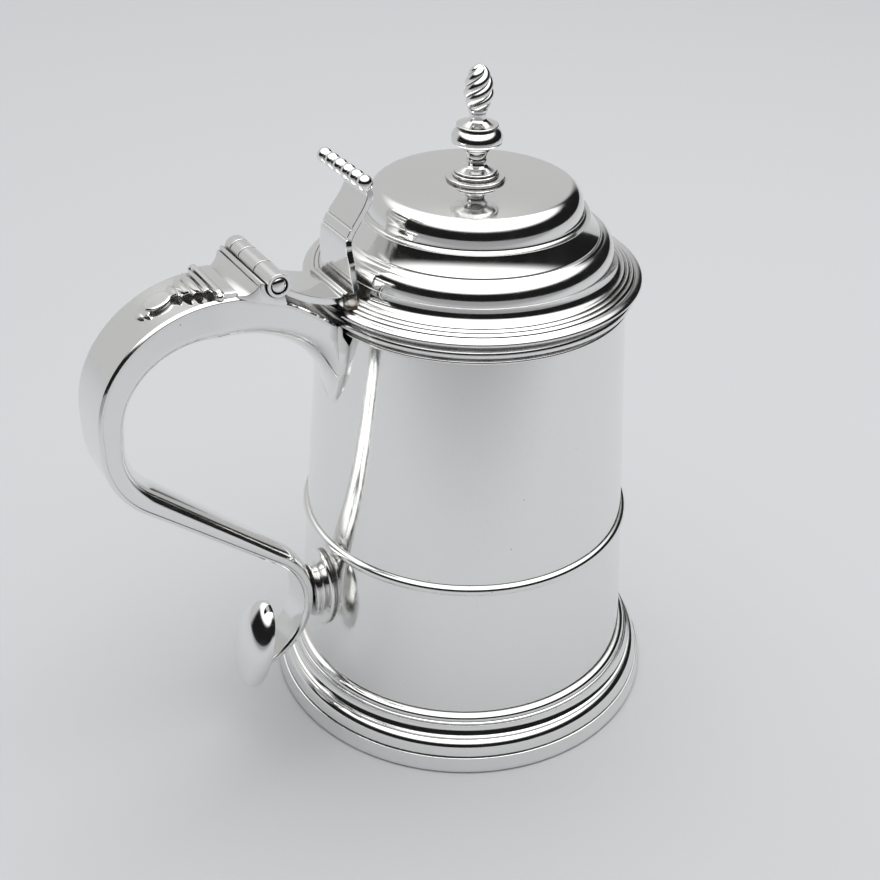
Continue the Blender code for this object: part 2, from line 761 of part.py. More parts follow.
wire_middle = lid_low + RIM_WIRE_HEIGHT / 2.0
wire_inner = flange_radius + GAP
wire_points = [(wire_inner, lid_low + RIM_WIRE_HEIGHT)]
wire_points += arc((wire_inner, wire_middle), (RIM_WIRE_WIDTH, RIM_WIRE_HEIGHT / 2.0), 70.0, -70.0, 6)
wire_points += [(wire_inner, lid_low)]
turned("lid_rim_wire", wire_points, lid_group)

bezel_radius = BARREL_TOP_RADIUS - BARREL_WALL - BEZEL_CLEARANCE
bezel_top = lid_low - GAP
bezel_low = bezel_top - BEZEL_DEPTH
turned(
    "lid_bezel",
    [
        (bezel_radius, bezel_top),
        (bezel_radius - 0.4, bezel_low),
        (bezel_radius - BEZEL_WALL, bezel_low),
        (bezel_radius - BEZEL_WALL, bezel_top),
    ],
    lid_group,
)

# finial
pedestal_low = lid_top + GAP
pedestal_waist = 0.4 * PEDESTAL_RADIUS


def pedestal_profile():
    """A flat disc and a ring under a waisted stem."""
    points = [(0.0, pedestal_low + PEDESTAL_HEIGHT)]
    for radius, share in [(0.56, 1.0), (0.54, 0.93), (0.45, 0.84)]:
        points.append((radius * PEDESTAL_RADIUS, pedestal_low + share * PEDESTAL_HEIGHT))
    points += [
        (pedestal_waist, pedestal_low + 0.67 * PEDESTAL_HEIGHT),
        (0.46 * PEDESTAL_RADIUS, pedestal_low + 0.47 * PEDESTAL_HEIGHT),
        (0.62 * PEDESTAL_RADIUS, pedestal_low + 0.36 * PEDESTAL_HEIGHT),
        (0.9 * PEDESTAL_RADIUS, pedestal_low + 0.27 * PEDESTAL_HEIGHT),
        (0.88 * PEDESTAL_RADIUS, pedestal_low + 0.22 * PEDESTAL_HEIGHT),
        (PEDESTAL_RADIUS, pedestal_low + 0.16 * PEDESTAL_HEIGHT),
        (PEDESTAL_RADIUS, pedestal_low + 0.1 * PEDESTAL_HEIGHT),
        (PEDESTAL_FOOT_RADIUS, pedestal_low + 0.07 * PEDESTAL_HEIGHT),
        (PEDESTAL_FOOT_RADIUS, pedestal_low),
        (0.0, pedestal_low),
    ]
    return points


turned("finial_pedestal", pedestal_profile(), lid_group, steps=24)

knop_low = pedestal_low + PEDESTAL_HEIGHT + GAP
knop_top = knop_low + KNOP_HEIGHT


def knop_profile():
    """A neck with a ring at its top over a shouldered flattened ball."""
    points = [(0.0, knop_top)]
    neck = [(0.38, 1.0), (0.38, 0.9), (0.31, 0.86), (0.31, 0.73), (0.5, 0.63), (0.8, 0.59), (0.8, 0.55)]
    for radius, share in neck:
        points.append((radius * KNOP_RADIUS, knop_low + share * KNOP_HEIGHT))
    belly = (0.7 * KNOP_RADIUS, knop_low + 0.2 * KNOP_HEIGHT)
    points += arc(belly, (0.3 * KNOP_RADIUS, 0.33 * KNOP_HEIGHT), 60.0, 0.0, 4)
    points += arc(belly, (0.3 * KNOP_RADIUS, 0.12 * KNOP_HEIGHT), -25.0, -70.0, 3)
    points.append((0.54 * KNOP_RADIUS, knop_low + 0.06 * KNOP_HEIGHT))
    points += [(0.5 * KNOP_RADIUS, knop_low), (0.0, knop_low)]
    return points


turned("finial_knop", knop_profile(), lid_group, steps=24)


def finial_flame():
    """A bud with spiral lobes that rise round it to a point."""
    low = knop_top + GAP
    count = 4 * FLAME_LOBES
    rings = []
    levels = 14
    belly = 0.33
    for level in range(levels):
        share = level / levels
        if share < belly:
            radius = FLAME_RADIUS * mix(0.78, 1.0, math.sin(0.5 * math.pi * share / belly))
        else:
            radius = FLAME_RADIUS * math.sqrt(1.0 - ((share - belly) / (1.0 - belly)) ** 2)
        turn = -2.0 * math.pi * FLAME_TURNS * share
        ring = []
        for k in range(count):
            angle = 2.0 * math.pi * k / count
            lobe = 1.0 + 0.07 * math.cos(FLAME_LOBES * angle)
            ring.append(
                (
                    radius * lobe * math.cos(angle + turn),
                    radius * lobe * math.sin(angle + turn),
                    low + share * FLAME_HEIGHT,
                )
            )
        rings.append(ring)
    rings.append([(0.0, 0.0, low + FLAME_HEIGHT)])
    return lofted("finial_flame", rings, lid_group)


finial_flame()

# lid leaf and thumbpiece
leaf_end = flange_inner - 0.3
leaf_top_z = flange_z + GAP + 0.5 + LEAF_THICKNESS
root_angle = math.radians(227.0)
root_distance = KNUCKLE_RADIUS + 1.4 * GAP


def leaf_outline():
    """A plate that sweeps from the knuckle down to the flange, with two ribs before the thumbpiece."""
    root = (
        HINGE_REACH + root_distance * math.cos(root_angle),
        hinge_z + root_distance * math.sin(root_angle),
    )
    knee = (flange_radius + 2.0, leaf_top_z)
    sweep = []
    for share in (0.25, 0.5, 0.75):
        sag = 0.7 * LEAF_THICKNESS * math.sin(math.pi * share)
        sweep.append((mix(root[0], knee[0], share), mix(root[1], knee[1], share) - sag))
    points = [root] + sweep
    points += [
        knee,
        (flange_radius + 0.6, leaf_top_z),
        (flange_radius + 0.1, leaf_top_z + 0.8),
        (flange_radius - 0.6, leaf_top_z + 0.3),
        (flange_radius - 1.1, leaf_top_z + 0.8),
        (flange_radius - 1.7, leaf_top_z),
        (leaf_end, leaf_top_z),
        (leaf_end, leaf_top_z - LEAF_THICKNESS),
        (knee[0], knee[1] - LEAF_THICKNESS),
    ]
    points += [(reach, height - 1.15 * LEAF_THICKNESS) for reach, height in reversed(sweep)]
    points.append((root[0] - 0.5 * LEAF_THICKNESS, root[1] - 1.15 * LEAF_THICKNESS))
    return points


plate("lid_hinge_leaf", leaf_outline(), LEAF_WIDTH, lid_group)

thumb_foot = (leaf_end + 1.1, leaf_top_z + GAP)


def thumb_path(share):
    """Middle of the scroll plate at a share of its height: up to a kink, leaning in, then curling out."""
    foot_lean = min(share / 0.5, 1.0)
    lean = min(max((share - 0.5) / 0.38, 0.0), 1.0)
    curl = max((share - 0.84) / 0.16, 0.0)
    inward = THUMB_FOOT_LEAN * foot_lean + THUMB_LEAN * (1.0 - (1.0 - lean) ** 1.5)
    return (thumb_foot[0] - inward + THUMB_CURL * curl ** 2, thumb_foot[1] + share * THUMB_HEIGHT)


def thumb_direction(share):
    """Unit direction of the scroll plate's middle line."""
    here = thumb_path(share)
    ahead = thumb_path(share + 0.004)
    size = math.dist(here, ahead)
    return ((ahead[0] - here[0]) / size, (ahead[1] - here[1]) / size)


def thumb_scroll():
    """The plate that carries the roll, narrowest at its middle."""
    rings = []
    count = 18
    for k in range(count + 1):
        share = k / count
        here = thumb_path(share)
        rise = thumb_direction(share)
        across = (rise[1], -rise[0])
        narrow = min(share / 0.5, 1.0)
        half = mix(THUMB_FOOT_WIDTH, THUMB_WAIST_WIDTH, narrow * (2.0 - narrow)) / 2.0
        out = (across[0] * THUMB_THICKNESS / 2.0, across[1] * THUMB_THICKNESS / 2.0)
        rings.append(
            [
                (here[0] + out[0], half, here[1] + out[1]),
                (here[0] + out[0], -half, here[1] + out[1]),
                (here[0] - out[0], -half, here[1] - out[1]),
                (here[0] - out[0], half, here[1] - out[1]),
            ]
        )
    return lofted("thumbpiece_scroll", rings, lid_group)


thumb_scroll()

scroll_end = thumb_path(1.0)
scroll_way = thumb_direction(1.0)
roll_stand = ROLL_RADIUS + GAP
roll_centre = (scroll_end[0] + scroll_way[0] * roll_stand, scroll_end[1] + scroll_way[1] * roll_stand)
roll_points = [(0.0, ROLL_BEADS * ROLL_BEAD_PITCH / 2.0)]
for bead in range(ROLL_BEADS):
    middle = (ROLL_BEADS - 1) * ROLL_BEAD_PITCH / 2.0 - bead * ROLL_BEAD_PITCH
    roll_points += arc((0.0, middle), (ROLL_RADIUS, ROLL_BEAD_PITCH / 2.0), 62.0, -62.0, 4)
roll_points.append((0.0, -ROLL_BEADS * ROLL_BEAD_PITCH / 2.0))
turned_on_hinge("thumbpiece_roll", roll_points, lid_group, roll_centre)
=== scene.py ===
"""Dressed silver tankard: fine meshes and polished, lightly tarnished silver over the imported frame.

Sizes are in millimetres. "Reach" is the distance from the barrel's axis towards the handle, so x = -reach,
and "rise" is the height above the table. Every finished mesh is in metres with its place in its vertices.
"""

import logging
import math
from dataclasses import dataclass, field
from enum import Enum, IntEnum
from typing import Sequence

import bmesh
import bpy
from mathutils import Matrix, Vector


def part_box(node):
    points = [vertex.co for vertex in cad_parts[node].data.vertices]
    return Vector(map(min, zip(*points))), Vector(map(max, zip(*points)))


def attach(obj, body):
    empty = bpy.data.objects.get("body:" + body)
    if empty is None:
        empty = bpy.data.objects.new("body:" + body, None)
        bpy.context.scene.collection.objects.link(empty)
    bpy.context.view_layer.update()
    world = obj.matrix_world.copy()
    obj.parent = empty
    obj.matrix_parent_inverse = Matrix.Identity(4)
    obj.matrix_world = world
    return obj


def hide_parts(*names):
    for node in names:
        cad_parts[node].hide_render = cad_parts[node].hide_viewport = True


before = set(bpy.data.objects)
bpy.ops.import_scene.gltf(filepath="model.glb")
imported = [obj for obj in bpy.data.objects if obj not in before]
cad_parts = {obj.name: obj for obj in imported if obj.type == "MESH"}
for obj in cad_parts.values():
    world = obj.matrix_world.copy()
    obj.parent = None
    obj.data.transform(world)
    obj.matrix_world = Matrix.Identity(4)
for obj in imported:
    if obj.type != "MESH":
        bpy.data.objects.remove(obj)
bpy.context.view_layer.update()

MM = 0.001
MM_PER_METRE = 1000.0
FULL_TURN = 2.0 * math.pi
SHARP_ANGLE = math.radians(38.0)
WELD_DISTANCE = 1e-7

# Depth to which a piece is let into its neighbour, so that no gap shows between them
SUNK = 0.3
SUNK_DEEP = 0.4

# Rounding of an outline's corners: the turn that counts as one, the steps round it and the points beside it
CORNER_TURN = math.radians(16.0)
CORNER_STEPS = 4
CUT_SHARE = 0.3
GUARD_REACH = 2.2
GUARD_SHARE = 0.45

BARREL_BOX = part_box("body_barrel")
AXIS_X = (BARREL_BOX[0][0] + BARREL_BOX[1][0]) / 2.0

log = logging.getLogger("tankard")

Pair = tuple[float, float]
Triple = tuple[float, float, float]
Quad = tuple[float, float, float, float]


class Body(Enum):
    """The two bodies of the frame that pieces ride on."""

    TANKARD = "tankard"
    LID = "lid"


class Slot(Enum):
    """The record's material slots."""

    POLISHED = "polished_silver"
    WORN = "worn_silver"


class Facets(IntEnum):
    """Number of facets round a turned piece."""

    BARREL = 192
    RING = 144
    OVAL = 96
    FINIAL = 72
    KNUCKLE = 64
    PIN = 48


class Wear(Enum):
    """Tarnish and painted shade that a surface keeps in its recesses, how rubbed its open faces are, and how
    dull they are.
    """

    OPEN_WALL = (0.25, 0.16, 0.0)
    MOULDED = (0.65, 0.08, 0.0)
    HANDLED = (0.8, 0.12, 0.0)
    HIDDEN = (0.5, 0.3, 0.1)
    SOLDERED = (1.0, 0.6, 1.0)

    @property
    def recess(self) -> float:
        """Share of tarnish and painted shade in a deep recess."""
        return self.value[0]

    @property
    def rub(self) -> float:
        """Strength of the fine scratches."""
        return self.value[1]

    @property
    def film(self) -> float:
        """Share of tarnish on an open face."""
        return self.value[2]


def mix(start: float, end: float, share: float) -> float:
    """The value a given share of the way from start to end."""
    return start + (end - start) * share


def smooth_step(value: float) -> float:
    """A soft step from 0 to 1 as value goes from 0 to 1."""
    value = min(max(value, 0.0), 1.0)
    return value * value * (3.0 - 2.0 * value)


def linear(code: str) -> Quad:
    """Turns an sRGB hex colour into linear RGBA.

    Args:
        code: Colour such as "#f3f1ec".

    Returns:
        Red, green, blue and an alpha of 1.
    """
    parts = []
    for start in (1, 3, 5):
        value = int(code[start:start + 2], 16) / 255.0
        parts.append(value / 12.92 if value <= 0.04045 else ((value + 0.055) / 1.055) ** 2.4)
    return (parts[0], parts[1], parts[2], 1.0)


def arc(centre: Pair, radii: Pair, start: float, end: float, count: int) -> list[Pair]:
    """Points on an elliptical arc.

    Args:
        centre: Middle of the ellipse.
        radii: Its half sizes.
        start: First angle in degrees.
        end: Last angle in degrees.
        count: Number of steps.

    Returns:
        The points with both ends included.
    """
    points = []
    for k in range(count + 1):
        angle = math.radians(mix(start, end, k / count))
        points.append((centre[0] + radii[0] * math.cos(angle), centre[1] + radii[1] * math.sin(angle)))
    return points


def crisp(points: Sequence[Pair], ease: float, closed: bool) -> list[Pair]:
    """Rounds each corner a little and adds a point beside it, so that flats stay flat under smooth shading.

    Args:
        points: The outline.
        ease: Rounding at a corner in millimetres.
        closed: Whether the last point joins the first.

    Returns:
        The finer outline.
    """
    result: list[Pair] = []
    count = len(points)
    for k, point in enumerate(points):
        here = Vector(point)
        if not closed and k in (0, count - 1):
            result.append(point)
            continue
        back = Vector(points[k - 1]) - here
        ahead = Vector(points[(k + 1) % count]) - here
        if math.pi - back.angle(ahead) < CORNER_TURN:
            result.append(point)
            continue
        cut = min(ease, CUT_SHARE * back.length, CUT_SHARE * ahead.length)
        start = here + back.normalized() * cut
        end = here + ahead.normalized() * cut
        result.append(tuple(here + back.normalized() * min(GUARD_REACH * cut, GUARD_SHARE * back.length)))
        for step in range(CORNER_STEPS + 1):
            share = step / CORNER_STEPS
            low = start.lerp(here, share)
            high = here.lerp(end, share)
            result.append(tuple(low.lerp(high, share)))
        result.append(tuple(here + ahead.normalized() * min(GUARD_REACH * cut, GUARD_SHARE * ahead.length)))
    return result


def turned(profile: Sequence[Pair], steps: int = Facets.RING, ease: float = 0.18) -> bmesh.types.BMesh:
    """Spins an outline of (radius, rise) points about the upright axis.

    Args:
        profile: Outline that is closed on itself, or starts and ends on the axis.
        steps: Number of facets round the axis.
        ease: Rounding of the outline's corners.

    Returns:
        The closed shape, in metres.
    """
    ring = profile[0][0] > 0.0
    points = crisp(profile, ease, ring)
    shape = bmesh.new()
    verts = [shape.verts.new((radius * MM, 0.0, rise * MM)) for radius, rise in points]
    edges = [shape.edges.new(pair) for pair in zip(verts, verts[1:])]
    if ring:
        edges.append(shape.edges.new((verts[-1], verts[0])))
    bmesh.ops.spin(
        shape, geom=verts + edges, cent=(0.0, 0.0, 0.0), axis=(0.0, 0.0, 1.0), angle=FULL_TURN,
        steps=int(steps), use_merge=True,
    )
    return settled(shape)


def settled(shape: bmesh.types.BMesh) -> bmesh.types.BMesh:
    """Merges doubles and turns every face outwards.

    Args:
        shape: Closed shape.

    Returns:
        The same shape.
    """
    bmesh.ops.remove_doubles(shape, verts=shape.verts, dist=WELD_DISTANCE)
    bmesh.ops.recalc_face_normals(shape, faces=shape.faces)
    return shape


def lofted(rings: Sequence[Sequence[Triple]]) -> bmesh.types.BMesh:
    """Extrudes a closed ring of (reach, side, rise) points from section to section and fills both ends.

    Args:
        rings: Sections with equal numbers of points.

    Returns:
        The closed shape, in metres.
    """
    shape = bmesh.new()
    verts = [shape.verts.new((-reach * MM, side * MM, rise * MM)) for reach, side, rise in rings[0]]
    edges = [shape.edges.new((verts[k - 1], verts[k])) for k in range(len(verts))]
    first = list(edges)
    for ring in rings[1:]:
        made = bmesh.ops.extrude_edge_only(shape, edges=edges)["geom"]
        fresh = {item for item in made if isinstance(item, bmesh.types.BMVert)}
        moved = []
        for vert in verts:
            moved.append(next(e.other_vert(vert) for e in vert.link_edges if e.other_vert(vert) in fresh))
        for vert, (reach, side, rise) in zip(moved, ring):
            vert.co = (-reach * MM, side * MM, rise * MM)
        verts = moved
        edges = [shape.edges.get((verts[k - 1], verts[k])) for k in range(len(verts))]
    bmesh.ops.edgeloop_fill(shape, edges=first)
    bmesh.ops.edgeloop_fill(shape, edges=edges)
    return settled(shape)


def plated(outline: Sequence[Pair], half_width: float, ease: float) -> bmesh.types.BMesh:
    """Extrudes an outline in the plane of symmetry to both sides and bevels its edges.

    Args:
        outline: Closed outline of (reach, rise) points.
        half_width: Half of the width across the tankard.
        ease: Width of the bevel.

    Returns:
        The closed shape, in metres.
    """
    shape = bmesh.new()
    verts = [shape.verts.new((-reach * MM, -half_width * MM, rise * MM)) for reach, rise in outline]
    face = shape.faces.new(verts)
    made = bmesh.ops.extrude_face_region(shape, geom=[face])["geom"]
    moved = [item for item in made if isinstance(item, bmesh.types.BMVert)]
    bmesh.ops.translate(shape, verts=moved, vec=(0.0, 2.0 * half_width * MM, 0.0))
    settled(shape)
    sharp = [edge for edge in shape.edges if edge.calc_face_angle(0.0) > SHARP_ANGLE]
    bmesh.ops.bevel(
        shape, geom=sharp, offset=ease * MM, offset_type='OFFSET', segments=3, profile=0.5, affect='EDGES',
        clamp_overlap=True, material=-1,
    )
    return settled(shape)


def along_hinge(shape: bmesh.types.BMesh, centre: Pair) -> bmesh.types.BMesh:
    """Lays a turned shape along the hinge, its height counted towards -Y.

    Args:
        shape: Shape turned about the upright axis.
        centre: Reach and rise of the hinge.

    Returns:
        The same shape in its place.
    """
    lay = Matrix.Rotation(math.radians(90.0), 4, 'X')
    move = Matrix.Translation((-centre[0] * MM, 0.0, centre[1] * MM))
    bmesh.ops.transform(shape, matrix=move @ lay, verts=shape.verts)
    return shape


def joined(shapes: Sequence[bmesh.types.BMesh]) -> bmesh.types.BMesh:
    """Puts several closed shapes into one mesh.

    Args:
        shapes: Shapes, which are used up.

    Returns:
        The mesh that holds them all.
    """
    whole = bmesh.new()
    for shape in shapes:
        part = bpy.data.meshes.new("part")
        shape.to_mesh(part)
        shape.free()
        whole.from_mesh(part)
        bpy.data.meshes.remove(part)
    return whole


def add_node(
    tree: bpy.types.NodeTree, kind: str, options: dict | None = None, inputs: dict | None = None
) -> bpy.types.Node:
    """Adds a shader node with its settings and links.

    Args:
        tree: Node tree to add to.
        kind: Node type.
        options: Attributes of the node.
        inputs: Sockets by name or number, each with a constant or with the socket that feeds it.

    Returns:
        The new node.
    """
    node = tree.nodes.new(kind)
    for name, value in (options or {}).items():
        setattr(node, name, value)
    for key, value in (inputs or {}).items():
        if isinstance(value, bpy.types.NodeSocket):
            tree.links.new(value, node.inputs[key])
        else:
            node.inputs[key].default_value = value
    return node


@dataclass(frozen=True)
class SterlingSilver:
    """Hand-polished sterling silver.

    To the eye it is a bright mirror with a soft wobble from the hammer, fine rub marks, a few pits, and a
    warm grey-brown sulphide film that polishing leaves in the recesses, laid on by ambient occlusion so that
    it also paints shade into hollows, creases and the gaps under and between parts.
    """

    name: str
    wear: Wear
    metal: str = "#efefee"
    # Brown of the tarnish, also used as painted shade in the recesses
    tarnish_and_shade_colour: str = "#4a4033"
    pit: str = "#2a2622"
    roughness: float = 0.085
    smudge_clean: float = 0.03
    smudge_dull: float = 0.06
    film_dull: float = 0.3
    wobble_mm: float = 26.0
    wobble_rise_mm: float = 0.035
    smudge_mm: float = 9.0
    rub_width_mm: float = 0.4
    rub_length_mm: float = 9.0
    rub_depth_mm: float = 0.004
    rub_relief: float = 4.0
    rub_turns: Pair = (0.5, 1.9)
    # Occlusion reach and levels of the recess tarnish, which also paint shade into hollows and under parts
    recess_mm: float = 3.2
    recess_open: float = 0.85
    recess_shut: float = 0.42
    pit_spacing_mm: float = 9.0
    pit_size: float = 0.028
    pit_strength: float = 0.7

    def material(self) -> bpy.types.Material:
        """Builds the node material.

        Returns:
            The finished material.
        """
        result = bpy.data.materials.new(self.name)
        result.use_nodes = True
        tree = result.node_tree
        shader = tree.nodes["Principled BSDF"]
        shader.inputs["Metallic"].default_value = 1.0
        place = add_node(tree, "ShaderNodeTexCoord").outputs["Object"]
        smudge = add_node(
            tree, "ShaderNodeTexNoise", {},
            {"Vector": place, "Scale": MM_PER_METRE / self.smudge_mm, "Detail": 5.0, "Roughness": 0.6},
        ).outputs["Fac"]
        # Recess share: real tarnish plus painted shade from ambient occlusion
        recess = self.tarnish_and_shade_mask(tree, smudge)
        rub = self.rub_marks(tree, place)
        pits = self.pit_mask(tree, place)
        coat = add_node(
            tree, "ShaderNodeMix", {"data_type": 'RGBA'},
            {0: recess, 6: linear(self.metal), 7: linear(self.tarnish_and_shade_colour)},
        )
        spotted = add_node(
            tree, "ShaderNodeMix", {"data_type": 'RGBA'}, {0: pits, 6: coat.outputs[2], 7: linear(self.pit)},
        )
        tree.links.new(spotted.outputs[2], shader.inputs["Base Color"])
        open_face = add_node(
            tree, "ShaderNodeMapRange", {},
            {"Value": smudge, "From Min": 0.3, "From Max": 0.75,
             "To Min": self.roughness - self.smudge_clean, "To Max": self.roughness + self.smudge_dull},
        ).outputs["Result"]
        rubbed = add_node(
            tree, "ShaderNodeMath", {"operation": 'MULTIPLY_ADD'}, {0: rub, 1: self.wear.rub, 2: open_face},
        ).outputs[0]
        filmed = add_node(
            tree, "ShaderNodeMath", {"operation": 'MULTIPLY_ADD'}, {0: recess, 1: self.film_dull, 2: rubbed},
        ).outputs[0]
        tree.links.new(filmed, shader.inputs["Roughness"])
        wobble = add_node(
            tree, "ShaderNodeTexNoise", {},
            {"Vector": place, "Scale": MM_PER_METRE / self.wobble_mm, "Detail": 1.0, "Roughness": 0.4},
        ).outputs["Fac"]
        swell = add_node(
            tree, "ShaderNodeBump", {},
            {"Height": wobble, "Distance": self.wobble_rise_mm * MM, "Strength": 1.0},
        ).outputs["Normal"]
        scored = add_node(
            tree, "ShaderNodeBump", {},
            {"Height": rub, "Distance": self.rub_depth_mm * MM, "Strength": self.wear.rub * self.rub_relief,
             "Normal": swell},
        ).outputs["Normal"]
        tree.links.new(scored, shader.inputs["Normal"])
        return result

    def tarnish_and_shade_mask(self, tree: bpy.types.NodeTree, smudge: bpy.types.NodeSocket) -> bpy.types.NodeSocket:
        """Share of tarnish and painted shade: high where the surface is hemmed in, broken up by the smudges.

        Args:
            tree: Node tree of the material.
            smudge: Patchy pattern.

        Returns:
            Socket with the share from 0 to 1.
        """
        # Ambient occlusion finds where shade falls, so this mask paints shade into the colour along with the
        # tarnish
        shut = add_node(
            tree, "ShaderNodeAmbientOcclusion", {"samples": 6, "only_local": False},
            {"Distance": self.recess_mm * MM},
        ).outputs["AO"]
        depth = add_node(
            tree, "ShaderNodeMapRange", {"interpolation_type": 'SMOOTHSTEP'},
            {"Value": shut, "From Min": self.recess_open, "From Max": self.recess_shut,
             "To Min": self.wear.film, "To Max": self.wear.recess},
        ).outputs["Result"]
        patchy = add_node(
            tree, "ShaderNodeMapRange", {},
            {"Value": smudge, "From Min": 0.25, "From Max": 0.65, "To Min": 0.45, "To Max": 1.0},
        ).outputs["Result"]
        return add_node(tree, "ShaderNodeMath", {"operation": 'MULTIPLY'}, {0: depth, 1: patchy}).outputs[0]

    def rub_marks(self, tree: bpy.types.NodeTree, place: bpy.types.NodeSocket) -> bpy.types.NodeSocket:
        """Fine scratches in two directions, drawn about five times as wide as real ones so that they show.

        Args:
            tree: Node tree of the material.
            place: Object coordinates.

        Returns:
            Socket with 1 on a scratch and 0 off it.
        """
        across = 1.0 / (self.rub_width_mm * MM)
        along = 1.0 / (self.rub_length_mm * MM)
        marks = []
        for turn, scale in zip(self.rub_turns, ((across, across, along), (along, across, across))):
            spun = add_node(
                tree, "ShaderNodeMapping", {},
                {"Vector": place, "Rotation": (turn, turn * 0.7, turn * 1.3), "Scale": scale},
            ).outputs["Vector"]
            grain = add_node(
                tree, "ShaderNodeTexNoise", {}, {"Vector": spun, "Scale": 1.0, "Detail": 2.0},
            ).outputs["Fac"]
            mark = add_node(
                tree, "ShaderNodeMapRange", {}, {"Value": grain, "From Min": 0.62, "From Max": 0.74},
            ).outputs["Result"]
            marks.append(mark)
        both = add_node(tree, "ShaderNodeMath", {"operation": 'MAXIMUM'}, {0: marks[0], 1: marks[1]})
        return both.outputs[0]

    def pit_mask(self, tree: bpy.types.NodeTree, place: bpy.types.NodeSocket) -> bpy.types.NodeSocket:
        """A few dark pits at random places.

        Args:
            tree: Node tree of the material.
            place: Object coordinates.

        Returns:
            Socket with 1 in a pit.
        """
        cells = add_node(
            tree, "ShaderNodeTexVoronoi", {"feature": 'F1'},
            {"Vector": place, "Scale": MM_PER_METRE / self.pit_spacing_mm},
        )
        dot = add_node(
            tree, "ShaderNodeMapRange", {},
            {"Value": cells.outputs["Distance"], "From Min": self.pit_size, "From Max": self.pit_size * 0.5},
        ).outputs["Result"]
        faded = add_node(tree, "ShaderNodeMath", {"operation": 'MULTIPLY'}, {0: dot, 1: self.pit_strength})
        return faded.outputs[0]


@dataclass
class Workshop:
    """Turns shapes into pieces: gives each its finish and body, and hides the node it stands for."""

    finishes: dict[Wear, bpy.types.Material] = field(default_factory=dict)

    def finish(self, wear: Wear) -> bpy.types.Material:
        """The silver for one kind of wear, made once.

        Args:
            wear: Kind of silver.

        Returns:
            Its material.
        """
        if wear not in self.finishes:
            name = "polished sterling silver, " + wear.name.lower().replace("_", " ")
            self.finishes[wear] = SterlingSilver(name, wear).material()
        return self.finishes[wear]

    def piece(
        self, name: str, shape: bmesh.types.BMesh, wear: Wear, body: Body, node: str,
    ) -> bpy.types.Object:
        """Puts a shape into the scene.

        Args:
            name: Name of the piece.
            shape: Mesh about the barrel's axis, which is used up.
            wear: Kind of silver.
            body: Body that it rides on.
            node: Node of the frame that it stands for.

        Returns:
            The new object.
        """
        bmesh.ops.translate(shape, verts=shape.verts, vec=(AXIS_X, 0.0, 0.0))
        for face in shape.faces:
            face.smooth = True
        for edge in shape.edges:
            edge.smooth = edge.calc_face_angle(0.0) < SHARP_ANGLE
        data = bpy.data.meshes.new(name)
        shape.to_mesh(data)
        shape.free()
        data.materials.append(self.finish(wear))
        result = bpy.data.objects.new(name, data)
        bpy.context.scene.collection.objects.link(result)
        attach(result, body.value)
        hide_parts(node)
        log.info("%s: %d faces on %s", name, len(data.polygons), body.value)
        return result


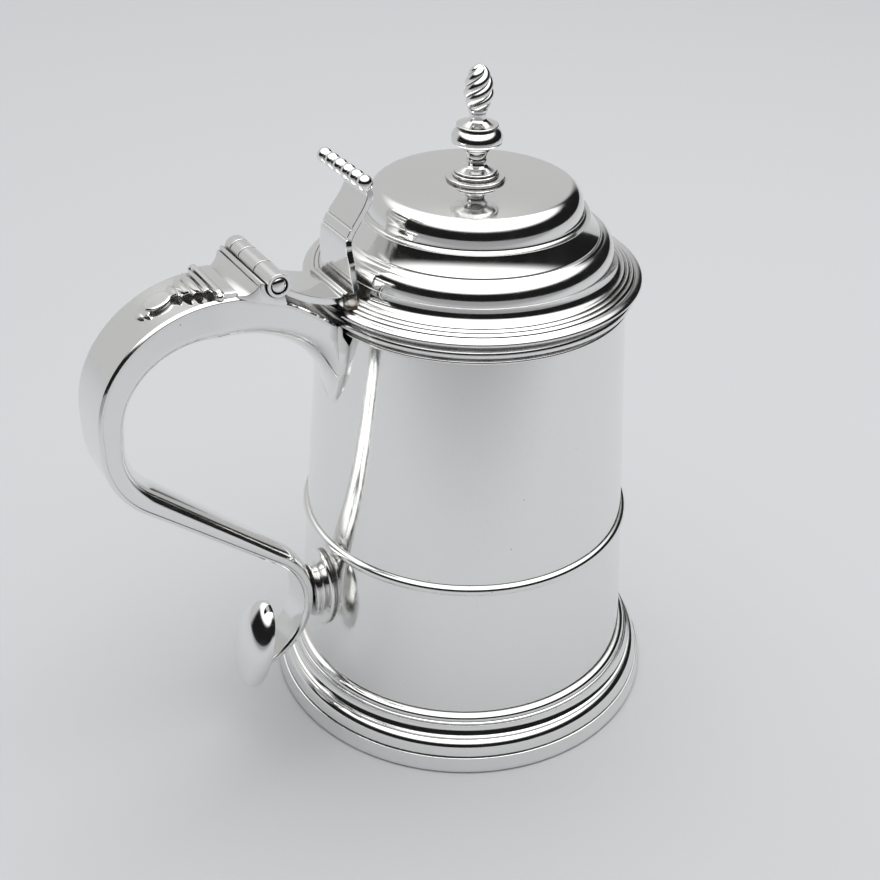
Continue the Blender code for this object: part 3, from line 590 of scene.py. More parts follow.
@dataclass
class Vessel:
    """The tapering barrel with its bottom, moulded foot, band and mouth moulding."""

    top_z: float = 147.6
    foot_z: float = 3.0
    top_radius: float = 46.75
    foot_radius: float = 57.4
    wall: float = 1.2
    bottom_z: float = 6.5
    bottom_thickness: float = 1.6
    foot_outer: float = 65.0
    foot_height: float = 19.1
    rest_width: float = 4.0
    rim_ease: float = 0.3
    wall_rings: int = 24
    band_z: float = 65.6
    band_height: float = 3.4
    band_rise: float = 1.5
    lip_height: float = 6.2
    lip_rise: float = 2.8

    def radius(self, rise: float) -> float:
        """Outer radius of the barrel at a height."""
        return mix(self.foot_radius, self.top_radius, (rise - self.foot_z) / (self.top_z - self.foot_z))

    def barrel(self) -> bmesh.types.BMesh:
        """The plain wall, with points down its slope so that its reflections stay even.

        Returns:
            The closed shape, in metres.
        """
        outside = [(self.radius(z), z) for z in self.levels()]
        inside = [(self.radius(z) - self.wall, z) for z in reversed(self.levels())]
        return turned(outside + inside, Facets.BARREL, self.rim_ease)

    def levels(self) -> list[float]:
        """Heights of the rings of the wall, from the top down."""
        shares = [k / self.wall_rings for k in range(self.wall_rings + 1)]
        return [mix(self.top_z, self.foot_z, share) for share in shares]

    def bottom(self) -> bmesh.types.BMesh:
        """The bottom plate, which runs into the wall.

        Returns:
            The closed shape, in metres.
        """
        top = self.bottom_z + self.bottom_thickness
        edge = self.radius(top) - 0.6 * self.wall
        points = [(0.0, top), (0.5 * edge, top), (edge, top), (edge, self.bottom_z), (0.0, self.bottom_z)]
        return turned(points)

    def foot(self) -> bmesh.types.BMesh:
        """Bead, small bead, cove, fillet, ovolo and fascia down to the ring that rests on the table.

        Returns:
            The closed shape, in metres.
        """
        spread = self.foot_outer - self.radius(0.0)

        def at(projection: float, share: float) -> Pair:
            """A point by its share of the foot's spread and height."""
            return (self.radius(0.0) + projection * spread, share * self.foot_height)

        top = 0.958 * self.foot_height
        points = [(self.radius(top) - SUNK, top)]
        points += arc(at(-0.165, 0.872), (0.257 * spread, 0.0864 * self.foot_height), 88.0, -20.0, 12)
        points += [at(0.045, 0.838)]
        points += arc(at(0.065, 0.817), (0.102 * spread, 0.026 * self.foot_height), 75.0, -60.0, 10)
        points += [at(0.133, 0.793)]
        points += arc(at(0.927, 0.8136), (0.756 * spread, 0.292 * self.foot_height), 185.0, 220.0, 12)
        points += [at(0.356, 0.623), at(0.451, 0.618), at(0.458, 0.584), at(0.39, 0.573)]
        points += arc(at(0.245, 0.411), (0.474 * spread, 0.183 * self.foot_height), 64.0, 18.0, 14)
        points += [at(0.797, 0.317), at(0.715, 0.3115), at(0.715, 0.293), at(0.865, 0.2906)]
        points += [at(0.946, 0.157), at(1.0, 0.031), at(0.95, 0.0)]
        rest = at(0.95, 0.0)[0] - self.rest_width
        points += [(rest, 0.0), (self.radius(self.foot_z) - SUNK, self.foot_z)]
        return turned(points, Facets.BARREL, ease=0.16)

    def band(self) -> bmesh.types.BMesh:
        """The half-round wire round the barrel, seated in the wall.

        Returns:
            The closed shape, in metres.
        """
        half = self.band_height / 2.0
        top = self.band_z + half
        low = self.band_z - half
        points = [(self.radius(top) - SUNK_DEEP, top)]
        points += arc((self.radius(self.band_z), self.band_z), (self.band_rise, half), 88.0, -88.0, 20)
        points.append((self.radius(low) - SUNK_DEEP, low))
        return turned(points, Facets.BARREL, ease=0.05)

    def lip(self) -> bmesh.types.BMesh:
        """The broad round over a small bead at the mouth.

        Returns:
            The closed shape, in metres.
        """
        low = self.top_z - self.lip_height
        root = self.radius(low)
        round_z = self.top_z - 0.38 * self.lip_height
        round_half = 0.3 * self.lip_height
        bead_half = 0.15 * self.lip_height
        points = [(self.top_radius - SUNK, self.top_z), (self.top_radius + self.lip_rise * 0.7, self.top_z)]
        points += arc((root, round_z), (self.lip_rise, round_half), 52.0, -72.0, 14)
        points += arc((root, low + bead_half), (self.lip_rise * 0.6, bead_half), 65.0, -85.0, 10)
        points.append((root - SUNK_DEEP, low))
        return turned(points, Facets.BARREL, ease=0.1)

    def build(self, shop: Workshop) -> None:
        """Makes and dresses the pieces.

        Args:
            shop: Workshop that dresses them.
        """
        shop.piece("barrel_wall", self.barrel(), Wear.OPEN_WALL, Body.TANKARD, "body_barrel")
        shop.piece("bottom_plate", self.bottom(), Wear.HIDDEN, Body.TANKARD, "bottom_disc")
        shop.piece("foot_moulding", self.foot(), Wear.MOULDED, Body.TANKARD, "base_moulding")
        shop.piece("barrel_band", self.band(), Wear.MOULDED, Body.TANKARD, "midband")
        shop.piece("mouth_moulding", self.lip(), Wear.MOULDED, Body.TANKARD, "lip_moulding")


@dataclass
class Station:
    """One cross-section of the handle in the plane of symmetry."""

    outer: Pair
    inner: Pair
    half: float
    flat: float

    @property
    def depth(self) -> float:
        """Distance from the outer to the inner line."""
        return math.dist(self.outer, self.inner)

    def at(self, deep: float, side: float) -> Triple:
        """A point by its depth below the outer line and its distance to the side."""
        share = deep / self.depth
        return (mix(self.outer[0], self.inner[0], share), side, mix(self.outer[1], self.inner[1], share))


@dataclass
class ScrollHandle:
    """The S-scroll: a round-backed channel closed by a flat strip, with its boss and its lower mount."""

    vessel: Vessel
    reach: float = 122.2
    crest_reach: float = 86.0
    crest_rise: float = 14.7
    back_flat: float = 6.7
    run_turn: float = math.radians(49.6)
    upper_bend: float = 29.6
    lower_bend: float = 22.5
    waist_stand: float = 9.0
    waist_z: float = 48.0
    tail_radius: float = 20.0
    tail_sweep: float = math.radians(76.0)
    root_drop: float = 33.6
    root_gap: float = 0.6
    root_below_rim: float = 2.1
    root_sunk: float = 0.45
    root_bow: float = 3.5
    root_width: float = 17.0
    crest_width: float = 21.0
    tail_width: float = 12.0
    crest_depth: float = 14.0
    tail_depth: float = 3.6
    even_taper: float = 0.55
    late_taper: int = 4
    width_taper: float = 1.7
    strip: float = 1.2
    strip_lap: float = 0.6
    strip_proud: float = 0.35
    strip_bevel: float = 0.65
    strip_ease: float = 0.22
    flat_side: float = 0.66
    root_flat_side: float = 0.12
    run_flat_side: float = 0.4
    run_from: float = 0.5
    run_fade: float = 0.3
    boss_height: float = 32.0
    boss_width: float = 20.2
    boss_dome: float = 6.7
    boss_rim: float = 1.2
    boss_lift: float = 3.2
    boss_sunk: float = 0.15
    boss_tilt: float = math.radians(16.4)
    mount_drop: float = 1.5
    mount_width: float = 19.0
    mount_height: float = 28.0
    mount_sunk: float = 0.8
    mount_lap: float = 0.5
    hug_from: float = 0.2
    hug_fade: float = 0.6
    root_steps: int = 26
    arch_steps: int = 24
    upper_steps: int = 14
    run_steps: int = 12
    lower_steps: int = 16
    tail_steps: int = 20

    def __post_init__(self) -> None:
        """Works out the joints between the parts of the outer line."""
        vessel = self.vessel
        self.crest_z = vessel.top_z + self.crest_rise
        self.lip_radius = vessel.radius(vessel.top_z - vessel.lip_height) + vessel.lip_rise
        self.root_reach = self.lip_radius + self.root_gap
        self.root_z = vessel.top_z - self.root_below_rim
        self.waist = vessel.radius(self.waist_z) + self.waist_stand
        bends = self.upper_bend + self.lower_bend
        turn_in = 1.0 - math.cos(self.run_turn)
        self.run = (self.reach - self.waist - turn_in * bends) / math.sin(self.run_turn)
        self.bend_z = self.waist_z + math.sin(self.run_turn) * bends + self.run * math.cos(self.run_turn)
        self.back_z = self.bend_z + self.back_flat
        self.root_curve = (self.crest_z - self.root_z) / (self.crest_reach - self.root_reach) ** 2
        self.tip_z = vessel.top_z - self.root_drop
        self.stations = self.sections()

    def top(self, reach: float) -> float:
        """Height of the outer line over the top of the handle.

        Args:
            reach: Distance from the barrel's axis.

        Returns:
            The height above the table.
        """
        if reach <= self.crest_reach:
            return self.crest_z - self.root_curve * (self.crest_reach - reach) ** 2
        share = (reach - self.crest_reach) / (self.reach - self.crest_reach)
        return self.back_z + (self.crest_z - self.back_z) * math.sqrt(1.0 - share ** 2)

    def line(self) -> list[tuple[Pair, Pair]]:
        """The outer line from the crest to the tail.

        Returns:
            Its points, each with the direction towards the inner side.
        """
        points: list[tuple[Pair, Pair]] = []
        wide = self.reach - self.crest_reach
        high = self.crest_z - self.back_z
        for k in range(self.arch_steps + 1):
            angle = math.radians(mix(90.0, 0.0, k / self.arch_steps))
            normal = Vector((math.cos(angle) / wide, math.sin(angle) / high)).normalized()
            spot = (self.crest_reach + wide * math.cos(angle), self.back_z + high * math.sin(angle))
            points.append((spot, (-normal.x, -normal.y)))
        for k in range(self.upper_steps + 1):
            angle = self.run_turn * k / self.upper_steps
            inward = (-math.cos(angle), math.sin(angle))
            centre = self.reach - self.upper_bend
            spot = (centre - self.upper_bend * inward[0], self.bend_z - self.upper_bend * inward[1])
            points.append((spot, inward))
        inward = (-math.cos(self.run_turn), math.sin(self.run_turn))
        start = points[-1][0]
        for k in range(1, self.run_steps):
            along = self.run * k / self.run_steps
            spot = (start[0] - along * math.sin(self.run_turn), start[1] - along * math.cos(self.run_turn))
            points.append((spot, inward))
        for k in range(self.lower_steps + 1):
            angle = self.run_turn * (1.0 - k / self.lower_steps)
            inward = (-math.cos(angle), math.sin(angle))
            centre = self.waist + self.lower_bend
            spot = (centre + self.lower_bend * inward[0], self.waist_z + self.lower_bend * inward[1])
            points.append((spot, inward))
        for k in range(1, self.tail_steps + 1):
            angle = self.tail_sweep * k / self.tail_steps
            inward = (-math.cos(angle), -math.sin(angle))
            centre = self.waist + self.tail_radius
            spot = (centre + self.tail_radius * inward[0], self.waist_z + self.tail_radius * inward[1])
            points.append((spot, inward))
        return points

    def sections(self) -> list[Station]:
        """Cross-sections from the barrel to the tail.

        Returns:
            The cross-sections in order.
        """
        result = []
        inner_low = self.vessel.radius(self.tip_z)
        inner_rise = self.crest_z - self.crest_depth - self.tip_z
        for k in range(self.root_steps):
            share = k / self.root_steps
            angle = math.radians(90.0 * share)
            reach = mix(self.root_reach, self.crest_reach, share ** self.root_bow)
            inner = (
                self.crest_reach - (self.crest_reach - inner_low) * math.cos(angle),
                self.tip_z + inner_rise * math.sin(angle),
            )
            half = mix(self.root_width, self.crest_width, share) / 2.0
            flat = mix(self.root_flat_side, self.flat_side, share)
            result.append(Station((reach, self.top(reach)), inner, half, flat))
        line = self.line()
        lengths = [0.0]
        for k in range(1, len(line)):
            lengths.append(lengths[-1] + math.dist(line[k][0], line[k - 1][0]))
        for (spot, inward), length in zip(line, lengths):
            left = 1.0 - length / lengths[-1]
            fullness = mix(left ** self.late_taper, left, self.even_taper)
            depth = mix(self.tail_depth, self.crest_depth, fullness)
            half = mix(self.tail_width, self.crest_width, left ** self.width_taper) / 2.0
            inner = (spot[0] + inward[0] * depth, spot[1] + inward[1] * depth)
            arch_share = smooth_step((left - self.run_from) / self.run_fade)
            flat = mix(self.run_flat_side, self.flat_side, arch_share)
            result.append(Station(spot, inner, half, flat))
        return result

    def end_radius(self, rise: float) -> float:
        """Radius just inside the barrel's wall and lip, where the root of the handle ends.

        Args:
            rise: Height above the table.

        Returns:
            The radius at that height.
        """
        low = self.vessel.top_z - self.vessel.lip_height
        share = smooth_step((rise - low + self.vessel.lip_rise) / self.vessel.lip_rise)
        return mix(self.vessel.radius(rise), self.lip_radius, share) - self.root_sunk

    def channel(self) -> bmesh.types.BMesh:
        """The round-backed inner side, from its point on the barrel to the tail.

        Returns:
            The closed shape, in metres.
        """
        rings = []
        for k, station in enumerate(self.stations):
            top = self.strip_lap * self.strip
            turn_at = mix(top, station.depth, station.flat)
            side = [(station.half, mix(top, turn_at, share)) for share in (0.0, 0.2, 0.9)]
            bulge = station.depth - turn_at
            side += arc((0.0, turn_at), (station.half, bulge), 0.0, 84.0, 9)
            whole = side + [(0.0, station.depth)] + [(-across, deep) for across, deep in reversed(side)]
            ring = [station.at(deep, across) for across, deep in whole]
            if k == 0:
                ring = [
                    (math.sqrt(self.end_radius(rise) ** 2 - across ** 2), across, rise)
                    for _, across, rise in ring
                ]
            rings.append(ring)
        return lofted(rings)

    def back(self) -> bmesh.types.BMesh:
        """The flat strip, whose bevelled edges stand a little proud of the channel.

        Returns:
            The closed shape, in metres.
        """
        rings = []
        for station in self.stations:
            half = station.half + self.strip_proud
            flat = half - self.strip_bevel
            edge = self.strip_bevel
            corners = [(flat, 0.0), (-flat, 0.0), (-half, edge)]
            corners += [(-half, self.strip), (half, self.strip), (half, edge)]
            outline = crisp(corners, self.strip_ease, True)
            rings.append([station.at(deep, across) for across, deep in outline])
        return lofted(rings)

    def boss(self) -> bmesh.types.BMesh:
        """The domed oval at the end of the tail.

        Returns:
            The closed shape, in metres.
        """
        tail = self.stations[-1]
        facing = Vector((math.cos(self.boss_tilt), math.sin(self.boss_tilt)))
        upward = Vector((-facing.y, facing.x))
        stand = max(Vector(tail.outer).dot(facing), Vector(tail.inner).dot(facing)) - self.boss_sunk
        lift = Vector(tail.outer).dot(upward) + self.boss_lift
        centre = facing * stand + upward * lift
        half = self.boss_height / 2.0
        dome = self.boss_dome - self.boss_rim + 0.3
        profile = arc((0.0, self.boss_rim), (half, dome), 90.0, 4.0, 22)
        profile += [(half, self.boss_rim), (half, 0.3), (half * 0.97, 0.0), (half * 0.5, 0.0), (0.0, 0.0)]
        shape = turned(profile, Facets.OVAL, ease=0.3)
        bmesh.ops.scale(shape, vec=(1.0, self.boss_width / self.boss_height, 1.0), verts=shape.verts)
        out = Vector((-facing.x, 0.0, facing.y))
        up = Vector((-upward.x, 0.0, upward.y))
        side = out.cross(up)
        turn = Matrix((up, side, out)).transposed().to_4x4()
        move = Matrix.Translation((-centre.x * MM, 0.0, centre.y * MM))
        bmesh.ops.transform(shape, matrix=move @ turn, verts=shape.verts)
        return settled(shape)

    def spool(self) -> bmesh.types.BMesh:
        """The oval turned spool between barrel and handle, its flange bent to the barrel.

        Returns:
            The closed shape, in metres.
        """
        level = self.waist_z - self.mount_drop
        nearest = min((s.inner[0] for s in self.stations if s.inner[1] < self.waist_z + 9.0))
        wall = self.vessel.radius(level)
        length = nearest - wall + self.mount_lap
        half = self.mount_height / 2.0
        profile = [(0.0, length), (0.6 * half, length)]
        profile += arc((0.62 * half, 0.86 * length), (0.09 * half, 0.1 * length), 80.0, -80.0, 8)
        profile += arc((0.8 * half, 0.55 * length), (0.2 * half, 0.2 * length), 160.0, 250.0, 8)
        profile += [(0.8 * half, 0.33 * length)]
        profile += arc((0.9 * half, 0.2 * length), (0.1 * half, 0.13 * length), 85.0, -60.0, 8)
        profile += [(share * half, -self.mount_sunk) for share in (0.9, 0.45, 0.0)]
        shape = turned(profile, Facets.OVAL, ease=0.12)
        bmesh.ops.scale(shape, vec=(1.0, self.mount_width / self.mount_height, 1.0), verts=shape.verts)
        turn = Matrix(((0.0, 0.0, -1.0), (0.0, 1.0, 0.0), (1.0, 0.0, 0.0))).to_4x4()
        move = Matrix.Translation((-wall * MM, 0.0, level * MM))
        bmesh.ops.transform(shape, matrix=move @ turn, verts=shape.verts)
        for vert in shape.verts:
            away = (-vert.co.x / MM - wall) / length
            hug = 1.0 - smooth_step((away - self.hug_from) / self.hug_fade)
            radius = self.vessel.radius(vert.co.z / MM)
            sag = wall - math.sqrt(radius ** 2 - (vert.co.y / MM) ** 2)
            vert.co.x += hug * sag * MM
        return settled(shape)

    def build(self, shop: Workshop) -> None:
        """Makes and dresses the pieces.

        Args:
            shop: Workshop that dresses them.
        """
        shop.piece("handle_channel", self.channel(), Wear.HANDLED, Body.TANKARD, "handle_shell")
        shop.piece("handle_back", self.back(), Wear.HANDLED, Body.TANKARD, "handle_back_strip")
        shop.piece("handle_boss", self.boss(), Wear.HANDLED, Body.TANKARD, "handle_terminal_boss")
        shop.piece("handle_spool", self.spool(), Wear.MOULDED, Body.TANKARD, "handle_lower_mount")


@dataclass
class StrapHinge:
    """The fixed side of the hinge: block, knuckles, pin, cap and the cast drop on the handle."""

    handle: ScrollHandle
    reach: float = 70.5
    length: float = 30.0
    knuckle: float = 3.4
    pin: float = 2.2
    near_length: float = 9.7
    lid_length: float = 10.1
    cap_length: float = 4.0
    block_width: float = 28.0
    block_foot: float = 6.6
    block_step: float = 0.7
    block_taper: float = 0.73
    block_ease: float = 0.16
    ridge_shift: Pair = (1.9, 0.5)
    crown_shift: Pair = (0.75, 1.5)
    groove: tuple[Pair, ...] = ((-0.15, -0.6), (-0.4, -0.45), (-0.5, 0.35))
    face_sag: float = 1.1
    face_shares: tuple[float, ...] = (0.12, 0.3, 0.5, 0.7, 0.86)
    face_inward: Pair = (0.45, 0.7)
    gap: float = 0.3
    web: float = 1.9
    pin_set_back: float = 0.6
    pin_dome: float = 1.0
    cap_round: float = 0.7
    cap_dome: float = 0.2
    relief_ease: float = 0.15
    disc_along: float = 18.7
    ball_radius: float = 1.2
    ball_spot: Triple = (4.9, 9.9, 0.7)

    # The drop from bar to neck, and its lobed tip: along, half width, height, share cut from the sides
    shield: tuple[Quad, ...] = (
        (0.0, 9.9, 1.1, 0.0), (0.3, 9.9, 1.5, 0.0), (3.6, 9.9, 1.5, 0.0), (3.9, 9.9, 1.1, 0.3),
        (4.2, 10.1, 2.2, 0.0), (4.6, 10.1, 2.5, 0.0), (5.2, 10.1, 2.5, 0.0), (5.6, 10.0, 2.2, 0.0),
        (5.8, 9.0, 1.3, 0.5), (6.1, 7.8, 2.0, 0.1), (6.7, 7.3, 2.3, 0.0), (7.6, 6.2, 2.3, 0.1),
        (8.0, 5.6, 1.9, 0.6), (8.3, 6.2, 2.2, 0.2), (8.9, 6.7, 2.4, 0.0), (9.8, 5.8, 2.4, 0.1),
        (10.5, 4.7, 2.0, 0.6), (10.8, 4.9, 2.2, 0.2), (11.4, 5.4, 2.4, 0.0), (12.3, 4.6, 2.3, 0.1),
        (13.1, 3.5, 1.8, 0.5), (13.5, 3.4, 1.9, 0.2), (14.1, 3.4, 2.0, 0.0), (14.9, 2.5, 1.7, 0.0),
        (15.6, 2.0, 1.5, 0.0), (16.6, 2.2, 1.4, 0.0),
    )
    tip: tuple[Quad, ...] = (
        (21.4, 1.8, 0.9, 0.0), (21.9, 3.0, 1.0, 0.0), (22.5, 3.6, 1.0, 0.1), (23.1, 3.0, 0.9, 0.1),
        (23.5, 2.0, 0.8, 0.3), (23.9, 2.1, 0.9, 0.1), (24.5, 1.5, 0.8, 0.0), (25.0, 0.5, 0.5, 0.0),
    )
    disc: tuple[Pair, ...] = (
        (0.0, 1.5), (2.0, 1.5), (3.4, 1.5), (3.8, 1.2), (3.9, 0.6), (3.8, -SUNK), (0.0, -SUNK),
    )

    def __post_init__(self) -> None:
        """Works out the hinge axis and the ends of the knuckles."""
        self.rise = self.handle.top(self.reach) + 2.0 * self.gap + self.web + self.knuckle
        self.centre = (self.reach, self.rise)
        self.near = self.length / 2.0
        self.lid_near = self.near - self.near_length - self.gap
        self.lid_far = self.lid_near - self.lid_length
        self.cap_near = -self.near + self.cap_length
        self.seat = self.knuckle + self.gap

    def tube(self, near: float, far: float) -> bmesh.types.BMesh:
        """A knuckle between two distances along the hinge.

        Args:
            near: Distance of its near end from the plane of symmetry.
            far: Distance of its far end.

        Returns:
            The closed shape, in metres.
        """
        bore = self.pin + self.gap
        outline = [(self.knuckle, near), (self.knuckle, far), (bore, far), (bore, near)]
        return along_hinge(turned(outline, Facets.KNUCKLE, ease=0.12), self.centre)

    def pin_rod(self) -> bmesh.types.BMesh:
        """The pin with its domed end inside the ring of the near knuckle.

        Returns:
            The closed shape, in metres.
        """
        shoulder = self.near - self.pin_set_back
        points = arc((0.0, shoulder), (self.pin, self.pin_dome), 90.0, 0.0, 10)
        points += [(self.pin, self.cap_near + self.gap), (0.0, self.cap_near + self.gap)]
        return along_hinge(turned(points, Facets.PIN, ease=0.1), self.centre)

    def cap(self) -> bmesh.types.BMesh:
        """The short cap that closes the far end.

        Returns:
            The closed shape, in metres.
        """
        points = [(0.0, self.cap_near), (self.knuckle, self.cap_near)]
        corner = (self.knuckle - self.cap_round, -self.near + self.cap_round)
        points += arc(corner, (self.cap_round, self.cap_round), 0.0, -90.0, 6)
        points += [(0.0, -self.near - self.cap_dome)]
        return along_hinge(turned(points, Facets.KNUCKLE, ease=0.15), self.centre)

    def block(self) -> bmesh.types.BMesh:
        """The hipped block: a hollowed face up to two ridges, and a round seat behind the knuckles.

        Returns:
            The closed shape, in metres.
        """
        foot_reach = self.reach + self.seat + self.block_foot
        foot = (foot_reach, self.handle.top(foot_reach) - SUNK)
        step = (foot[0], foot[1] + self.block_step)
        ridge = (self.reach + self.seat + self.ridge_shift[0], self.rise + self.ridge_shift[1])
        crown = (self.reach + self.seat + self.crown_shift[0], self.rise + self.crown_shift[1])
        points = [foot, step]
        for share in self.face_shares:
            sag = self.face_sag * math.sin(math.pi * share)
            reach = mix(step[0], ridge[0], share) - self.face_inward[0] * sag
            points.append((reach, mix(step[1], ridge[1], share) - self.face_inward[1] * sag))
        points.append(ridge)
        points += [(ridge[0] + along, ridge[1] + up) for along, up in self.groove]
        points.append(crown)
        points += arc(self.centre, (self.seat, self.seat), 14.0, -118.0, 14)
        inner = self.reach - 0.65 * self.seat
        points.append((inner, self.handle.top(inner) + 0.9))
        for k in range(9):
            reach = mix(inner, foot_reach, k / 9)
            points.append((reach, self.handle.top(reach) - SUNK))
        shape = plated(points, self.block_width / 2.0, self.block_ease)
        whole = shape.verts[:] + shape.edges[:] + shape.faces[:]
        hip_line = (-ridge[0] * MM, 0.0, 0.0)
        bmesh.ops.bisect_plane(shape, geom=whole, plane_co=hip_line, plane_no=(1.0, 0.0, 0.0))
        for vert in shape.verts:
            hip = max((-vert.co.x / MM - ridge[0]) / (foot[0] - ridge[0]), 0.0)
            vert.co.y *= mix(1.0, self.block_taper, hip)
        return settled(shape)

    def wrap(self, shape: bmesh.types.BMesh, start: float) -> bmesh.types.BMesh:
        """Bends a flat relief over the curve of the handle's back.

        Args:
            shape: Relief in metres: x along the handle away from the hinge, y to the side, z up.
            start: Reach at x = 0.

        Returns:
            The same shape on the handle.
        """
        step = 0.2
        for vert in shape.verts:
            reach = start + vert.co.x / MM
            stand = vert.co.z / MM
            slope = (self.handle.top(reach + step) - self.handle.top(reach - step)) / (2.0 * step)
            lift = Vector((-slope, 1.0)).normalized()
            vert.co.x = -(reach + lift.x * stand) * MM
            vert.co.z = (self.handle.top(reach) + lift.y * stand) * MM
        return settled(shape)

    def relief(self, stations: Sequence[Quad]) -> bmesh.types.BMesh:
        """A flat cast relief with scalloped sides.

        Args:
            stations: Place along the handle, half width, height, and share of the height cut from the sides.

        Returns:
            The relief before it is bent over the handle.
        """
        rings = []
        for along, half, high, notch in stations:
            section = [(-half, -SUNK), (-half, (0.85 - notch) * high), (-0.9 * half, (1.0 - notch) * high)]
            section += [(-0.45 * half, (1.0 - 0.3 * notch) * high), (0.0, high)]
            section += [(-side, rise) for side, rise in reversed(section[:-1])]
            outline = crisp(section, self.relief_ease, True)
            rings.append([(-along, side, rise) for side, rise in outline])
        return lofted(rings)

    def drop(self) -> bmesh.types.BMesh:
        """Cast ornament: a bar, a step, a scalloped shield, a neck, a round disc and a lobed tip.

        Returns:
            The closed shape, in metres.
        """
        start = self.reach + self.seat + self.block_foot - 0.2
        disc = turned(self.disc, Facets.PIN, self.relief_ease)
        bmesh.ops.translate(disc, verts=disc.verts, vec=(self.disc_along * MM, 0.0, 0.0))
        shapes = [self.relief(self.shield), self.relief(self.tip), disc]
        along, side, rise = self.ball_spot
        for across in (side, -side):
            ball = bmesh.new()
            bmesh.ops.create_uvsphere(ball, u_segments=20, v_segments=12, radius=self.ball_radius * MM)
            bmesh.ops.translate(ball, verts=ball.verts, vec=(along * MM, across * MM, rise * MM))
            shapes.append(ball)
        return self.wrap(joined(shapes), start)

    def build(self, shop: Workshop) -> None:
        """Makes and dresses the pieces.

        Args:
            shop: Workshop that dresses them.
        """
        fixed = Body.TANKARD
        shop.piece("hinge_seat", self.block(), Wear.HANDLED, fixed, "hinge_block")
        shop.piece("hinge_ornament", self.drop(), Wear.MOULDED, fixed, "hinge_drop")
        near = self.tube(self.near, self.near - self.near_length)
        far = self.tube(self.lid_far - self.gap, self.cap_near + self.gap)
        shop.piece("fixed_knuckle_near", near, Wear.HANDLED, fixed, "hinge_knuckle_near")
        shop.piece("fixed_knuckle_far", far, Wear.HANDLED, fixed, "hinge_knuckle_far")
        shop.piece("domed_pin", self.pin_rod(), Wear.HANDLED, fixed, "hinge_pin")
        shop.piece("pin_end_cap", self.cap(), Wear.HANDLED, fixed, "hinge_pin_cap")
        lid_knuckle = self.tube(self.lid_near, self.lid_far)
        shop.piece("turning_knuckle", lid_knuckle, Wear.HANDLED, Body.LID, "lid_hinge_knuckle")


